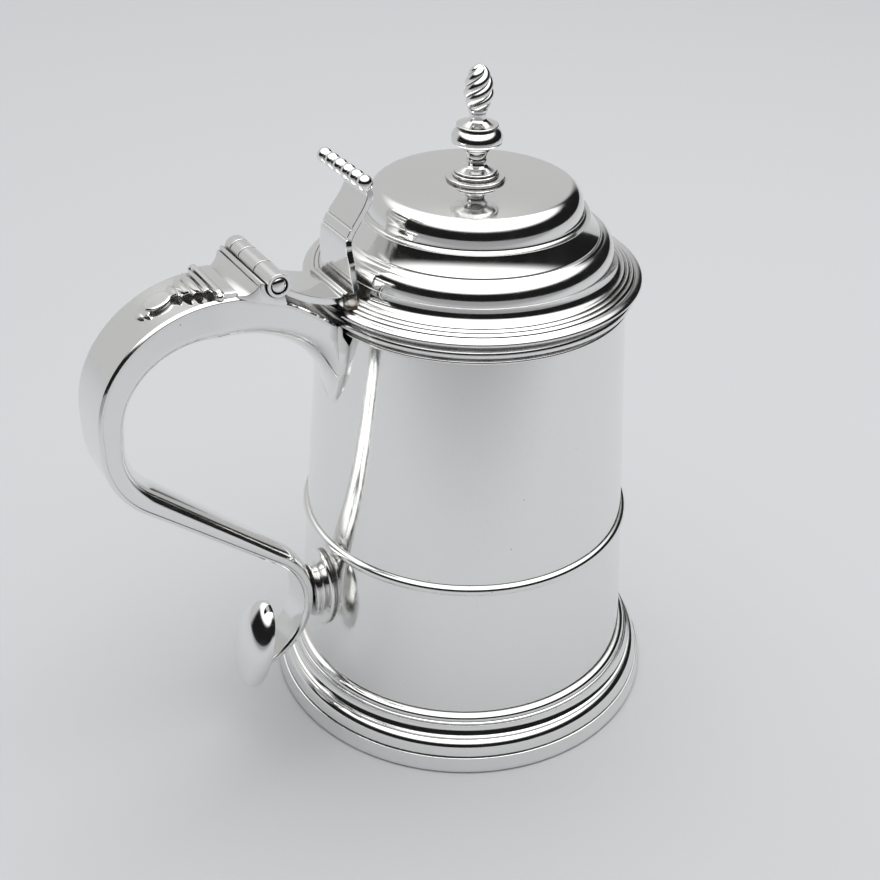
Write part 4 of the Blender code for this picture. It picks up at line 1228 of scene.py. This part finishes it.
@dataclass
class SteppedLid:
    """The domed lid with its reeded flange, edge wire, inner ring and the leaf that joins it to the hinge."""

    vessel: Vessel
    hinge: StrapHinge
    radius: float = 51.6
    height: float = 29.5
    wall: float = 1.3
    wire_width: float = 2.3
    wire_height: float = 2.4
    flange_width: float = 6.4
    flange_rise: float = 4.1
    reeds: int = 3
    reed_rise: float = 0.52
    reed_steps: int = 8
    seat_gap: float = 0.39
    leaf_width: float = 20.0
    leaf_thickness: float = 1.9
    leaf_stand: float = 0.8
    leaf_root_turn: float = math.radians(227.0)
    leaf_root_lap: float = 0.2
    leaf_knee: float = 2.0
    leaf_sag: float = 0.7
    leaf_sweep_steps: int = 8
    leaf_tuck: float = 1.6
    rib_half: Pair = (0.65, 0.8)
    solder_size: Triple = (4.6, 12.4, 2.9)
    solder_shift: float = 1.6
    solder_sink: float = 0.5
    ripple_rise: float = 0.12
    ripple_waves: Pair = (1300.0, 1900.0)
    ripple_start: float = 0.8
    bezel_clearance: float = 1.35
    bezel_wall: float = 1.2
    bezel_depth: float = 3.4
    bezel_lead: float = 0.4
    radius_shares: tuple[float, ...] = (0.938, 0.845, 0.761, 0.717, 0.611)
    height_shares: tuple[float, ...] = (0.285, 0.485, 0.685, 0.736, 0.963)
    crown_shares: tuple[float, ...] = (0.2, 0.4, 0.6, 0.8, 0.92)
    crown_fall: float = 2.2
    shoulder_fillet: float = 1.1
    cove_turn: Pair = (25.0, 40.5)

    def __post_init__(self) -> None:
        """Works out the steps of the dome."""
        self.low = self.vessel.top_z + self.seat_gap
        self.flange_edge = self.radius - self.wire_width
        self.flange_inner = self.radius - self.flange_width
        self.flange_z = self.low + self.flange_rise
        self.tier_radius = [self.flange_inner * share for share in self.radius_shares]
        self.tier_z = [self.low + self.height * share for share in self.height_shares]
        self.top = self.low + self.height
        self.leaf_end = self.flange_inner - SUNK
        self.leaf_top = self.flange_z + self.leaf_stand + self.leaf_thickness

    def outside(self) -> list[Pair]:
        """Crown, round shoulder, two coved steps, ovolo, scotia and reeded flange.

        Returns:
            The outline from the middle outwards.
        """
        ovolo_r, step_r, edge_r, shoulder_r, crown_r = self.tier_radius
        ovolo_z, step_z, edge_z, shoulder_z, crown_z = self.tier_z
        points = [(0.0, self.top)]
        for share in self.crown_shares:
            points.append((share * crown_r, mix(self.top, crown_z, share ** self.crown_fall)))
        points += arc((crown_r, shoulder_z), (shoulder_r - crown_r, crown_z - shoulder_z), 90.0, 2.0, 16)
        fillet = self.shoulder_fillet
        points += [(shoulder_r, edge_z + 1.3 * fillet)]
        points += arc((shoulder_r + fillet, edge_z + fillet), (fillet, fillet), 182.0, 262.0, 8)
        points += [(edge_r, edge_z - 0.05)]
        first, last = self.cove_turn
        spread = math.cos(math.radians(first)) - math.cos(math.radians(last))
        sweep = (step_r - 0.5 - edge_r) / spread
        cove_z = edge_z - 0.2 + sweep * math.sin(math.radians(first))
        cove_r = edge_r + sweep * math.cos(math.radians(first))
        points += arc((cove_r, cove_z), (sweep, sweep), 180.0 + first, 180.0 + last, 10)
        points += [(step_r - 0.4, step_z + 0.1), (step_r + 0.2, step_z)]
        ovolo = (ovolo_r - step_r - 0.3, step_z - 0.4 - ovolo_z)
        points += arc((step_r + 0.3, ovolo_z), ovolo, 84.0, 0.0, 14)
        low = ovolo_z - 0.4
        points += [(ovolo_r, low)]
        scotia = (self.flange_inner - ovolo_r - 0.3, low - self.flange_z)
        points += arc((self.flange_inner, low), scotia, 180.0, 270.0, 12)
        wire_top = self.low + self.wire_height
        for reed in range(self.reeds):
            for k in range(1, self.reed_steps + 1):
                arch = math.sin(math.pi * k / self.reed_steps) if k < self.reed_steps else 0.0
                share = (reed + k / self.reed_steps) / self.reeds
                rise = mix(self.flange_z, wire_top, share) + self.reed_rise * math.sqrt(arch)
                points.append((mix(self.flange_inner, self.flange_edge, share), rise))
        points.append((self.flange_edge, self.low))
        return points

    def inside(self) -> list[Pair]:
        """The hollow from the underside of the flange to the middle.

        Returns:
            The outline from the flange inwards.
        """
        inset = 1.3 * self.wall
        points = [
            (self.flange_inner - 1.4 * self.wall, self.low),
            (self.flange_inner - 1.5 * self.wall, self.flange_z - self.wall),
        ]
        for radius, rise in list(zip(self.tier_radius, self.tier_z))[:3]:
            points.append((radius - inset, rise - self.wall))
        points.append((self.tier_radius[3] - inset, self.tier_z[3] - 0.3 * self.wall))
        points.append((self.tier_radius[4] + 0.3 * self.wall, self.tier_z[4] - self.wall))
        points.append((0.0, self.top - self.wall))
        return points

    def wire(self) -> bmesh.types.BMesh:
        """The rounded wire round the edge of the flange.

        Returns:
            The closed shape, in metres.
        """
        middle = self.low + self.wire_height / 2.0
        points = [(self.flange_edge - SUNK, self.low + self.wire_height + 0.1)]
        points += arc((self.flange_edge, middle), (self.wire_width, self.wire_height / 2.0), 84.0, -84.0, 16)
        points += [(self.flange_edge - SUNK, self.low)]
        return turned(points, Facets.BARREL, ease=0.08)

    def inner_ring(self) -> bmesh.types.BMesh:
        """The ring under the lid that drops inside the mouth.

        Returns:
            The closed shape, in metres.
        """
        outer = self.vessel.top_radius - self.vessel.wall - self.bezel_clearance
        inner = outer - self.bezel_wall
        low = self.low - SUNK - self.bezel_depth
        high = self.low + SUNK
        outline = [(outer, high), (outer - self.bezel_lead, low), (inner, low), (inner, high)]
        return turned(outline, Facets.RING, ease=0.2)

    def leaf(self) -> bmesh.types.BMesh:
        """The plate that sweeps from the turning knuckle down to the flange, with two ribs at its end.

        Returns:
            The closed shape, in metres.
        """
        turn = self.leaf_root_turn
        arm = self.hinge.knuckle - self.leaf_root_lap
        root = (self.hinge.reach + arm * math.cos(turn), self.hinge.rise + arm * math.sin(turn))
        edge = self.flange_edge - SUNK
        knee = (edge + self.leaf_knee, self.leaf_top)
        sweep = []
        for k in range(1, self.leaf_sweep_steps):
            share = k / self.leaf_sweep_steps
            sag = self.leaf_sag * self.leaf_thickness * math.sin(math.pi * share)
            sweep.append((mix(root[0], knee[0], share), mix(root[1], knee[1], share) - sag))
        points = [root] + sweep + [knee, (edge + 0.8, self.leaf_top)]
        points += arc((edge + 0.15, self.leaf_top + 0.1), self.rib_half, 20.0, 150.0, 6)
        points += arc((edge - 1.15, self.leaf_top + 0.1), self.rib_half, 30.0, 165.0, 6)
        under = self.leaf_top - self.leaf_thickness - self.leaf_tuck
        points += [(self.leaf_end, self.leaf_top), (self.leaf_end, under), (edge, under)]
        points.append((knee[0], knee[1] - self.leaf_thickness))
        points += [(reach, rise - 1.15 * self.leaf_thickness) for reach, rise in reversed(sweep)]
        points.append((root[0] - 0.5 * self.leaf_thickness, root[1] - 1.15 * self.leaf_thickness))
        return plated(points, self.leaf_width / 2.0, ease=0.15)

    def solder(self) -> bmesh.types.BMesh:
        """The dull fillet of solder that runs round the end of the leaf and down to the flange.

        Returns:
            The closed shape, in metres.
        """
        shape = bmesh.new()
        bmesh.ops.create_uvsphere(shape, u_segments=40, v_segments=20, radius=MM)
        bmesh.ops.scale(shape, vec=self.solder_size, verts=shape.verts)
        reach = self.leaf_end + self.solder_shift
        rise = self.flange_z - self.solder_sink
        bmesh.ops.translate(shape, vec=(-reach * MM, 0.0, rise * MM), verts=shape.verts)
        along, across = self.ripple_waves
        for vert in shape.verts:
            ripple = math.sin(across * vert.co.y) * math.sin(along * vert.co.x + self.ripple_start)
            vert.co.z += self.ripple_rise * MM * ripple
        return settled(shape)

    def build(self, shop: Workshop) -> None:
        """Makes and dresses the pieces.

        Args:
            shop: Workshop that dresses them.
        """
        dome = turned(self.outside() + self.inside(), Facets.BARREL, ease=0.14)
        shop.piece("lid_stepped_dome", dome, Wear.MOULDED, Body.LID, "lid_dome")
        shop.piece("lid_edge_wire", self.wire(), Wear.MOULDED, Body.LID, "lid_rim_wire")
        shop.piece("lid_inner_ring", self.inner_ring(), Wear.HIDDEN, Body.LID, "lid_bezel")
        shop.piece("lid_leaf", self.leaf(), Wear.HANDLED, Body.LID, "lid_hinge_leaf")
        shop.piece("lid_leaf_solder", self.solder(), Wear.SOLDERED, Body.LID, "lid_hinge_leaf")


@dataclass
class ScrollThumbpiece:
    """The S-curved plate on the leaf, with two scored lines at its waist and a beaded roll on top."""

    lid: SteppedLid
    height: float = 31.4
    foot_flare: float = 1.2
    lean: float = 7.4
    curl: float = 2.6
    thickness: float = 1.9
    roll_radius: float = 2.3
    beads: int = 6
    bead_pitch: float = 4.75
    widths: tuple[Pair, ...] = (
        (0.0, 20.0), (0.26, 18.8), (0.42, 16.2), (0.5, 15.0), (0.8, 14.2), (1.0, 13.2),
    )
    lines: tuple[float, ...] = (0.486, 0.572)
    line_depth: float = 0.45
    line_width: float = 0.22
    foot_back: float = 1.1
    flare_to: float = 0.45
    lean_from: float = 0.42
    lean_over: float = 0.46
    curl_from: float = 0.84
    curl_over: float = 0.16
    plate_rings: int = 160
    plate_ease: float = 0.2
    roll_gap: float = 0.1

    def path(self, share: float) -> Pair:
        """Middle of the plate: flared at the foot, upright to a bend, leaning in, then curling out.

        Args:
            share: Share of the plate's height.

        Returns:
            Reach and rise of the point.
        """
        lean = smooth_step((share - self.lean_from) / self.lean_over)
        curl = max((share - self.curl_from) / self.curl_over, 0.0)
        flare = max(1.0 - share / self.flare_to, 0.0)
        foot = (self.lid.leaf_end + self.foot_back, self.lid.leaf_top)
        inward = self.foot_flare * flare ** 2 + self.lean * lean
        return (foot[0] - inward + self.curl * curl ** 2, foot[1] + share * self.height)

    def direction(self, share: float) -> Vector:
        """Unit direction of the plate's middle line."""
        step = 0.004
        return (Vector(self.path(share + step)) - Vector(self.path(share))).normalized()

    def width(self, share: float) -> float:
        """Width of the plate at a share of its height.

        Args:
            share: Share of the plate's height.

        Returns:
            The whole width.
        """
        for (low, wide), (high, wide_next) in zip(self.widths, self.widths[1:]):
            if share <= high:
                return mix(wide, wide_next, smooth_step((share - low) / (high - low)))
        return self.widths[-1][1]

    def plate(self) -> bmesh.types.BMesh:
        """The plate, scored across its back at the waist.

        Returns:
            The closed shape, in metres.
        """
        rings = []
        for k in range(self.plate_rings + 1):
            share = k / self.plate_rings
            here = Vector(self.path(share))
            along = self.direction(share)
            across = Vector((along.y, -along.x))
            half = self.width(share) / 2.0
            thick = self.thickness / 2.0
            offsets = [(share - line) * self.height / self.line_width for line in self.lines]
            score = sum(math.exp(-(offset ** 2)) for offset in offsets)
            back = thick - self.line_depth * score
            corners = [(half, back), (-half, back), (-half, -thick), (half, -thick)]
            ring = []
            for side, out in crisp(corners, self.plate_ease, True):
                spot = here + across * out
                ring.append((spot.x, side, spot.y))
            rings.append(ring)
        return lofted(rings)

    def roll(self) -> bmesh.types.BMesh:
        """The roll: fat beads with a thin collar between each two.

        Returns:
            The closed shape, in metres.
        """
        end = Vector(self.path(1.0)) + self.direction(1.0) * (self.roll_radius + self.roll_gap)
        half = self.beads * self.bead_pitch / 2.0
        bead_half = (self.roll_radius, 0.47 * self.bead_pitch)
        collar_half = (0.22 * self.roll_radius, 0.09 * self.bead_pitch)
        points = [(0.0, half)]
        for bead in range(self.beads):
            middle = half - (bead + 0.5) * self.bead_pitch
            points += arc((0.0, middle), bead_half, 64.0, -64.0, 14)
            if bead < self.beads - 1:
                edge = middle - self.bead_pitch / 2.0
                points += arc((0.62 * self.roll_radius, edge), collar_half, 80.0, -80.0, 6)
        points.append((0.0, -half))
        return along_hinge(turned(points, Facets.PIN, ease=0.05), (end.x, end.y))

    def build(self, shop: Workshop) -> None:
        """Makes and dresses the pieces.

        Args:
            shop: Workshop that dresses them.
        """
        shop.piece("thumb_plate", self.plate(), Wear.HANDLED, Body.LID, "thumbpiece_scroll")
        shop.piece("thumb_roll", self.roll(), Wear.MOULDED, Body.LID, "thumbpiece_roll")


@dataclass
class FlameFinial:
    """The cast finial: waisted pedestal, flattened knop and a spirally fluted flame."""

    lid: SteppedLid
    pedestal_height: float = 9.0
    disc_radius: float = 8.65
    knop_height: float = 11.7
    flame_height: float = 12.0
    flame_radius: float = 4.2
    flame_lobes: int = 4
    flame_turns: float = 0.9
    flame_belly: float = 0.33
    flame_foot: float = 0.74
    flame_levels: int = 64
    flame_tip: float = 0.997
    lobe_facets: int = 20
    lobe_depth: float = 0.1
    lobe_swell: float = 0.35
    groove_depth: float = 2.2
    groove_power: float = 0.6
    seam: float = 0.3

    def pedestal(self) -> bmesh.types.BMesh:
        """A flat disc and two rings under a waisted stem with a small collar.

        Returns:
            The closed shape, in metres.
        """
        low = self.lid.top - SUNK
        top = self.lid.top + self.seam + self.pedestal_height

        def up(share: float) -> float:
            """Height by share of the pedestal."""
            return self.lid.top + self.seam + share * self.pedestal_height

        points = [(0.0, top), (3.9, top), (3.8, up(0.94)), (3.3, up(0.86)), (2.95, up(0.76)), (2.8, up(0.66))]
        points += arc((2.75, up(0.6)), (0.35, 0.035 * self.pedestal_height), 80.0, -80.0, 6)
        points += [(2.75, up(0.55)), (2.95, up(0.47)), (3.6, up(0.39))]
        points += [(4.7, up(0.335)), (5.5, up(0.31)), (5.9, up(0.3))]
        points += arc((5.9, up(0.26)), (0.5, 0.04 * self.pedestal_height), 85.0, -70.0, 8)
        points += [(5.85, up(0.2))]
        points += arc((6.35, up(0.15)), (0.5, 0.05 * self.pedestal_height), 85.0, -70.0, 8)
        points += [(6.6, up(0.095)), (7.6, up(0.08))]
        rim = self.disc_radius - 0.4
        points += arc((rim, up(0.035)), (0.4, 0.035 * self.pedestal_height), 80.0, -60.0, 8)
        points += [(rim, low), (0.0, low)]
        return turned(points, Facets.FINIAL, ease=0.1)

    def knop(self) -> bmesh.types.BMesh:
        """A neck and sloping shoulder with a sharp edge over a belly that is widest near its foot.

        Returns:
            The closed shape, in metres.
        """
        low = self.lid.top + 2.0 * self.seam + self.pedestal_height
        top = low + self.knop_height

        def up(share: float) -> float:
            """Height by share of the knop."""
            return low + share * self.knop_height

        points = [(0.0, top), (2.7, top), (2.9, up(0.97)), (2.9, up(0.9)), (2.5, up(0.865)), (2.4, up(0.8))]
        points += [(2.45, up(0.73)), (2.9, up(0.675)), (3.9, up(0.625)), (5.2, up(0.595)), (6.1, up(0.585))]
        points += [(6.25, up(0.565)), (6.0, up(0.545)), (4.75, up(0.535))]
        level = up(0.2)
        points += arc((3.7, level), (3.95, 0.335 * self.knop_height), 72.0, 0.0, 16)
        points += arc((5.25, level), (2.4, 0.12 * self.knop_height), -12.0, -72.0, 8)
        points += [(5.2, up(0.07)), (4.1, up(0.04)), (3.9, low - SUNK_DEEP), (0.0, low - SUNK_DEEP)]
        return turned(points, Facets.FINIAL, ease=0.12)

    def flame(self) -> bmesh.types.BMesh:
        """An egg-shaped flame with rounded spiral bands between narrow grooves.

        Returns:
            The closed shape, in metres.
        """
        low = self.lid.top + 3.0 * self.seam + self.pedestal_height + self.knop_height
        belly = self.flame_belly
        count = self.lobe_facets * self.flame_lobes
        rings = []
        for level in range(self.flame_levels + 1):
            share = min(level / self.flame_levels, self.flame_tip)
            rise = low - SUNK + share * (self.flame_height + SUNK)
            if share < belly:
                swell = math.sin(0.5 * math.pi * share / belly)
                radius = self.flame_radius * mix(self.flame_foot, 1.0, swell)
            else:
                radius = self.flame_radius * math.sqrt(1.0 - ((share - belly) / (1.0 - belly)) ** 2)
            turn = -FULL_TURN * self.flame_turns * share
            ring = []
            for k in range(count):
                angle = FULL_TURN * k / count
                crest = abs(math.sin(0.5 * self.flame_lobes * angle)) ** self.groove_power
                lobe = 1.0 - self.lobe_depth * self.groove_depth * (1.0 - crest)
                size = radius * (lobe + self.lobe_depth * self.lobe_swell)
                ring.append((size * math.cos(angle + turn), size * math.sin(angle + turn), rise))
            rings.append(ring)
        return lofted(rings)

    def build(self, shop: Workshop) -> None:
        """Makes and dresses the pieces.

        Args:
            shop: Workshop that dresses them.
        """
        shop.piece("finial_foot", self.pedestal(), Wear.MOULDED, Body.LID, "finial_pedestal")
        shop.piece("finial_knob", self.knop(), Wear.MOULDED, Body.LID, "finial_knop")
        shop.piece("finial_bud", self.flame(), Wear.HANDLED, Body.LID, "finial_flame")


@dataclass(frozen=True)
class BackgroundPaper:
    """Matt background paper: an even pale grey without gloss, with shade painted into it towards the front.
    """

    name: str = "matt white background paper"
    pale: str = "#b8b9bb"
    shaded: str = "#929294"
    roughness: float = 0.9
    gloss: float = 0.1
    # Painted shade: where the darkening starts and the way it runs
    shade_origin: Pair = (-0.1995, -0.3091)
    shade_turn: float = math.radians(58.49)
    shade_from: float = 0.22
    shade_full: float = -0.2

    def material(self) -> bpy.types.Material:
        """Builds the node material.

        Returns:
            The finished material.
        """
        result = bpy.data.materials.new(self.name)
        result.use_nodes = True
        tree = result.node_tree
        shader = tree.nodes["Principled BSDF"]
        shader.inputs["Roughness"].default_value = self.roughness
        shader.inputs["Specular IOR Level"].default_value = self.gloss
        place = add_node(tree, "ShaderNodeTexCoord").outputs["Object"]
        origin = (self.shade_origin[0] + AXIS_X, self.shade_origin[1], 0.0)
        lined_up = add_node(
            tree, "ShaderNodeMapping", {"vector_type": 'TEXTURE'},
            {"Vector": place, "Location": origin, "Rotation": (0.0, 0.0, self.shade_turn)},
        ).outputs["Vector"]
        along = add_node(tree, "ShaderNodeSeparateXYZ", {}, {0: lined_up}).outputs["X"]
        # Painted shade: the paper's colour goes from pale to shaded towards the front
        near = add_node(
            tree, "ShaderNodeMapRange", {"interpolation_type": 'SMOOTHSTEP'},
            {"Value": along, "From Min": self.shade_from, "From Max": self.shade_full},
        ).outputs["Result"]
        tone = add_node(
            tree, "ShaderNodeMix", {"data_type": 'RGBA'},
            {0: near, 6: linear(self.pale), 7: linear(self.shaded)},
        ).outputs[2]
        tree.links.new(tone, shader.inputs["Base Color"])
        return result


@dataclass
class Studio:
    """A pale paper floor, a soft bright surround with a dark front, an overhead light and the camera."""

    camera_spot: Triple = (-0.1995, -0.3091, 0.3186)
    camera_view: Triple = (0.442, 0.721, -0.534)
    camera_roll: float = math.radians(1.40)
    lens: float = 53.88
    sensor: float = 36.0
    nearest_shown: float = 0.01
    floor_size: float = 30.0
    sky_top: float = 1.9
    sky_back: float = 0.57
    sky_dark: float = 0.012
    sky_shown: float = 0.62
    top_fade: Pair = (0.45, 0.85)
    dark_side: Triple = (0.0, -1.0, 0.0)
    dark_side_fade: Pair = (-0.7, -0.5)
    dark_height_fade: Pair = (0.66, 0.52)
    lamp_spot: Triple = (0.25, 0.05, 1.1)
    lamp_aim: Triple = (0.0, 0.0, 0.1)
    lamp_size: float = 0.9
    lamp_power: float = 3.8

    def floor(self) -> None:
        """A wide sheet of background paper."""
        sheet = bmesh.new()
        bmesh.ops.create_grid(sheet, x_segments=1, y_segments=1, size=self.floor_size / 2.0)
        data = bpy.data.meshes.new("paper_floor")
        sheet.to_mesh(data)
        sheet.free()
        data.materials.append(BackgroundPaper().material())
        sheet_object = bpy.data.objects.new("paper_floor", data)
        bpy.context.scene.collection.objects.link(sheet_object)

    def surround(self) -> None:
        """Bright overhead and behind, dark at the front, and an even pale grey where it is seen directly."""
        world = bpy.data.worlds.new("studio")
        bpy.context.scene.world = world
        world.use_nodes = True
        tree = world.node_tree
        tree.nodes.clear()
        towards = add_node(tree, "ShaderNodeTexCoord").outputs["Generated"]
        facing = add_node(
            tree, "ShaderNodeVectorMath", {"operation": 'DOT_PRODUCT'}, {0: towards, 1: self.dark_side},
        ).outputs["Value"]
        height = add_node(tree, "ShaderNodeSeparateXYZ", {}, {0: towards}).outputs["Z"]
        front = add_node(
            tree, "ShaderNodeMapRange", {"interpolation_type": 'SMOOTHSTEP'},
            {"Value": facing, "From Min": self.dark_side_fade[0], "From Max": self.dark_side_fade[1]},
        ).outputs["Result"]
        under_top = add_node(
            tree, "ShaderNodeMapRange", {"interpolation_type": 'SMOOTHSTEP'},
            {"Value": height, "From Min": self.dark_height_fade[0], "From Max": self.dark_height_fade[1]},
        ).outputs["Result"]
        dark = add_node(
            tree, "ShaderNodeMath", {"operation": 'MULTIPLY'}, {0: front, 1: under_top},
        ).outputs[0]
        glow = add_node(
            tree, "ShaderNodeMapRange", {"interpolation_type": 'SMOOTHSTEP'},
            {"Value": height, "From Min": self.top_fade[0], "From Max": self.top_fade[1],
             "To Min": self.sky_back, "To Max": self.sky_top},
        ).outputs["Result"]
        level = add_node(
            tree, "ShaderNodeMix", {"data_type": 'FLOAT'}, {0: dark, 2: glow, 3: self.sky_dark},
        ).outputs[0]
        direct = add_node(tree, "ShaderNodeLightPath").outputs["Is Camera Ray"]
        shown = add_node(
            tree, "ShaderNodeMix", {"data_type": 'FLOAT'}, {0: direct, 2: level, 3: self.sky_shown},
        ).outputs[0]
        white = (1.0, 1.0, 1.0, 1.0)
        back = add_node(tree, "ShaderNodeBackground", {}, {"Color": white, "Strength": shown})
        add_node(tree, "ShaderNodeOutputWorld", {}, {"Surface": back.outputs[0]})

    def lamp(self) -> None:
        """A square soft light overhead."""
        light = bpy.data.lights.new("overhead_softbox", 'AREA')
        light.size = self.lamp_size
        light.energy = self.lamp_power
        holder = bpy.data.objects.new("overhead_softbox", light)
        holder.location = Vector(self.lamp_spot) + Vector((AXIS_X, 0.0, 0.0))
        towards = Vector(self.lamp_aim) - Vector(self.lamp_spot)
        holder.rotation_euler = towards.to_track_quat('-Z', 'Y').to_euler()
        bpy.context.scene.collection.objects.link(holder)

    def camera(self) -> None:
        """The camera at the photograph's viewing angle."""
        view = Vector(self.camera_view).normalized()
        right = view.cross(Vector((0.0, 0.0, 1.0))).normalized()
        upward = right.cross(view)
        turned_right = right * math.cos(self.camera_roll) + upward * math.sin(self.camera_roll)
        turned_up = upward * math.cos(self.camera_roll) - right * math.sin(self.camera_roll)
        data = bpy.data.cameras.new("camera")
        data.lens = self.lens
        data.sensor_width = self.sensor
        data.sensor_fit = 'HORIZONTAL'
        data.clip_start = self.nearest_shown
        holder = bpy.data.objects.new("camera", data)
        turn = Matrix((turned_right, turned_up, -view)).transposed().to_4x4()
        spot = Vector(self.camera_spot) + Vector((AXIS_X, 0.0, 0.0))
        holder.matrix_world = Matrix.Translation(spot) @ turn
        bpy.context.scene.collection.objects.link(holder)
        bpy.context.scene.camera = holder

    def build(self) -> None:
        """Sets up floor, surround, light and camera."""
        self.floor()
        self.surround()
        self.lamp()
        self.camera()
        bpy.context.scene.view_settings.view_transform = 'Standard'


def main() -> None:
    """Builds the tankard's sub-assemblies and the studio in order."""
    logging.basicConfig(level=logging.INFO, format="%(message)s")
    shop = Workshop()
    vessel = Vessel()
    handle = ScrollHandle(vessel)
    hinge = StrapHinge(handle)
    lid = SteppedLid(vessel, hinge)
    for assembly in (vessel, handle, hinge, lid, ScrollThumbpiece(lid), FlameFinial(lid)):
        assembly.build(shop)
    Studio().build()


if __name__ == "__main__":
    main()
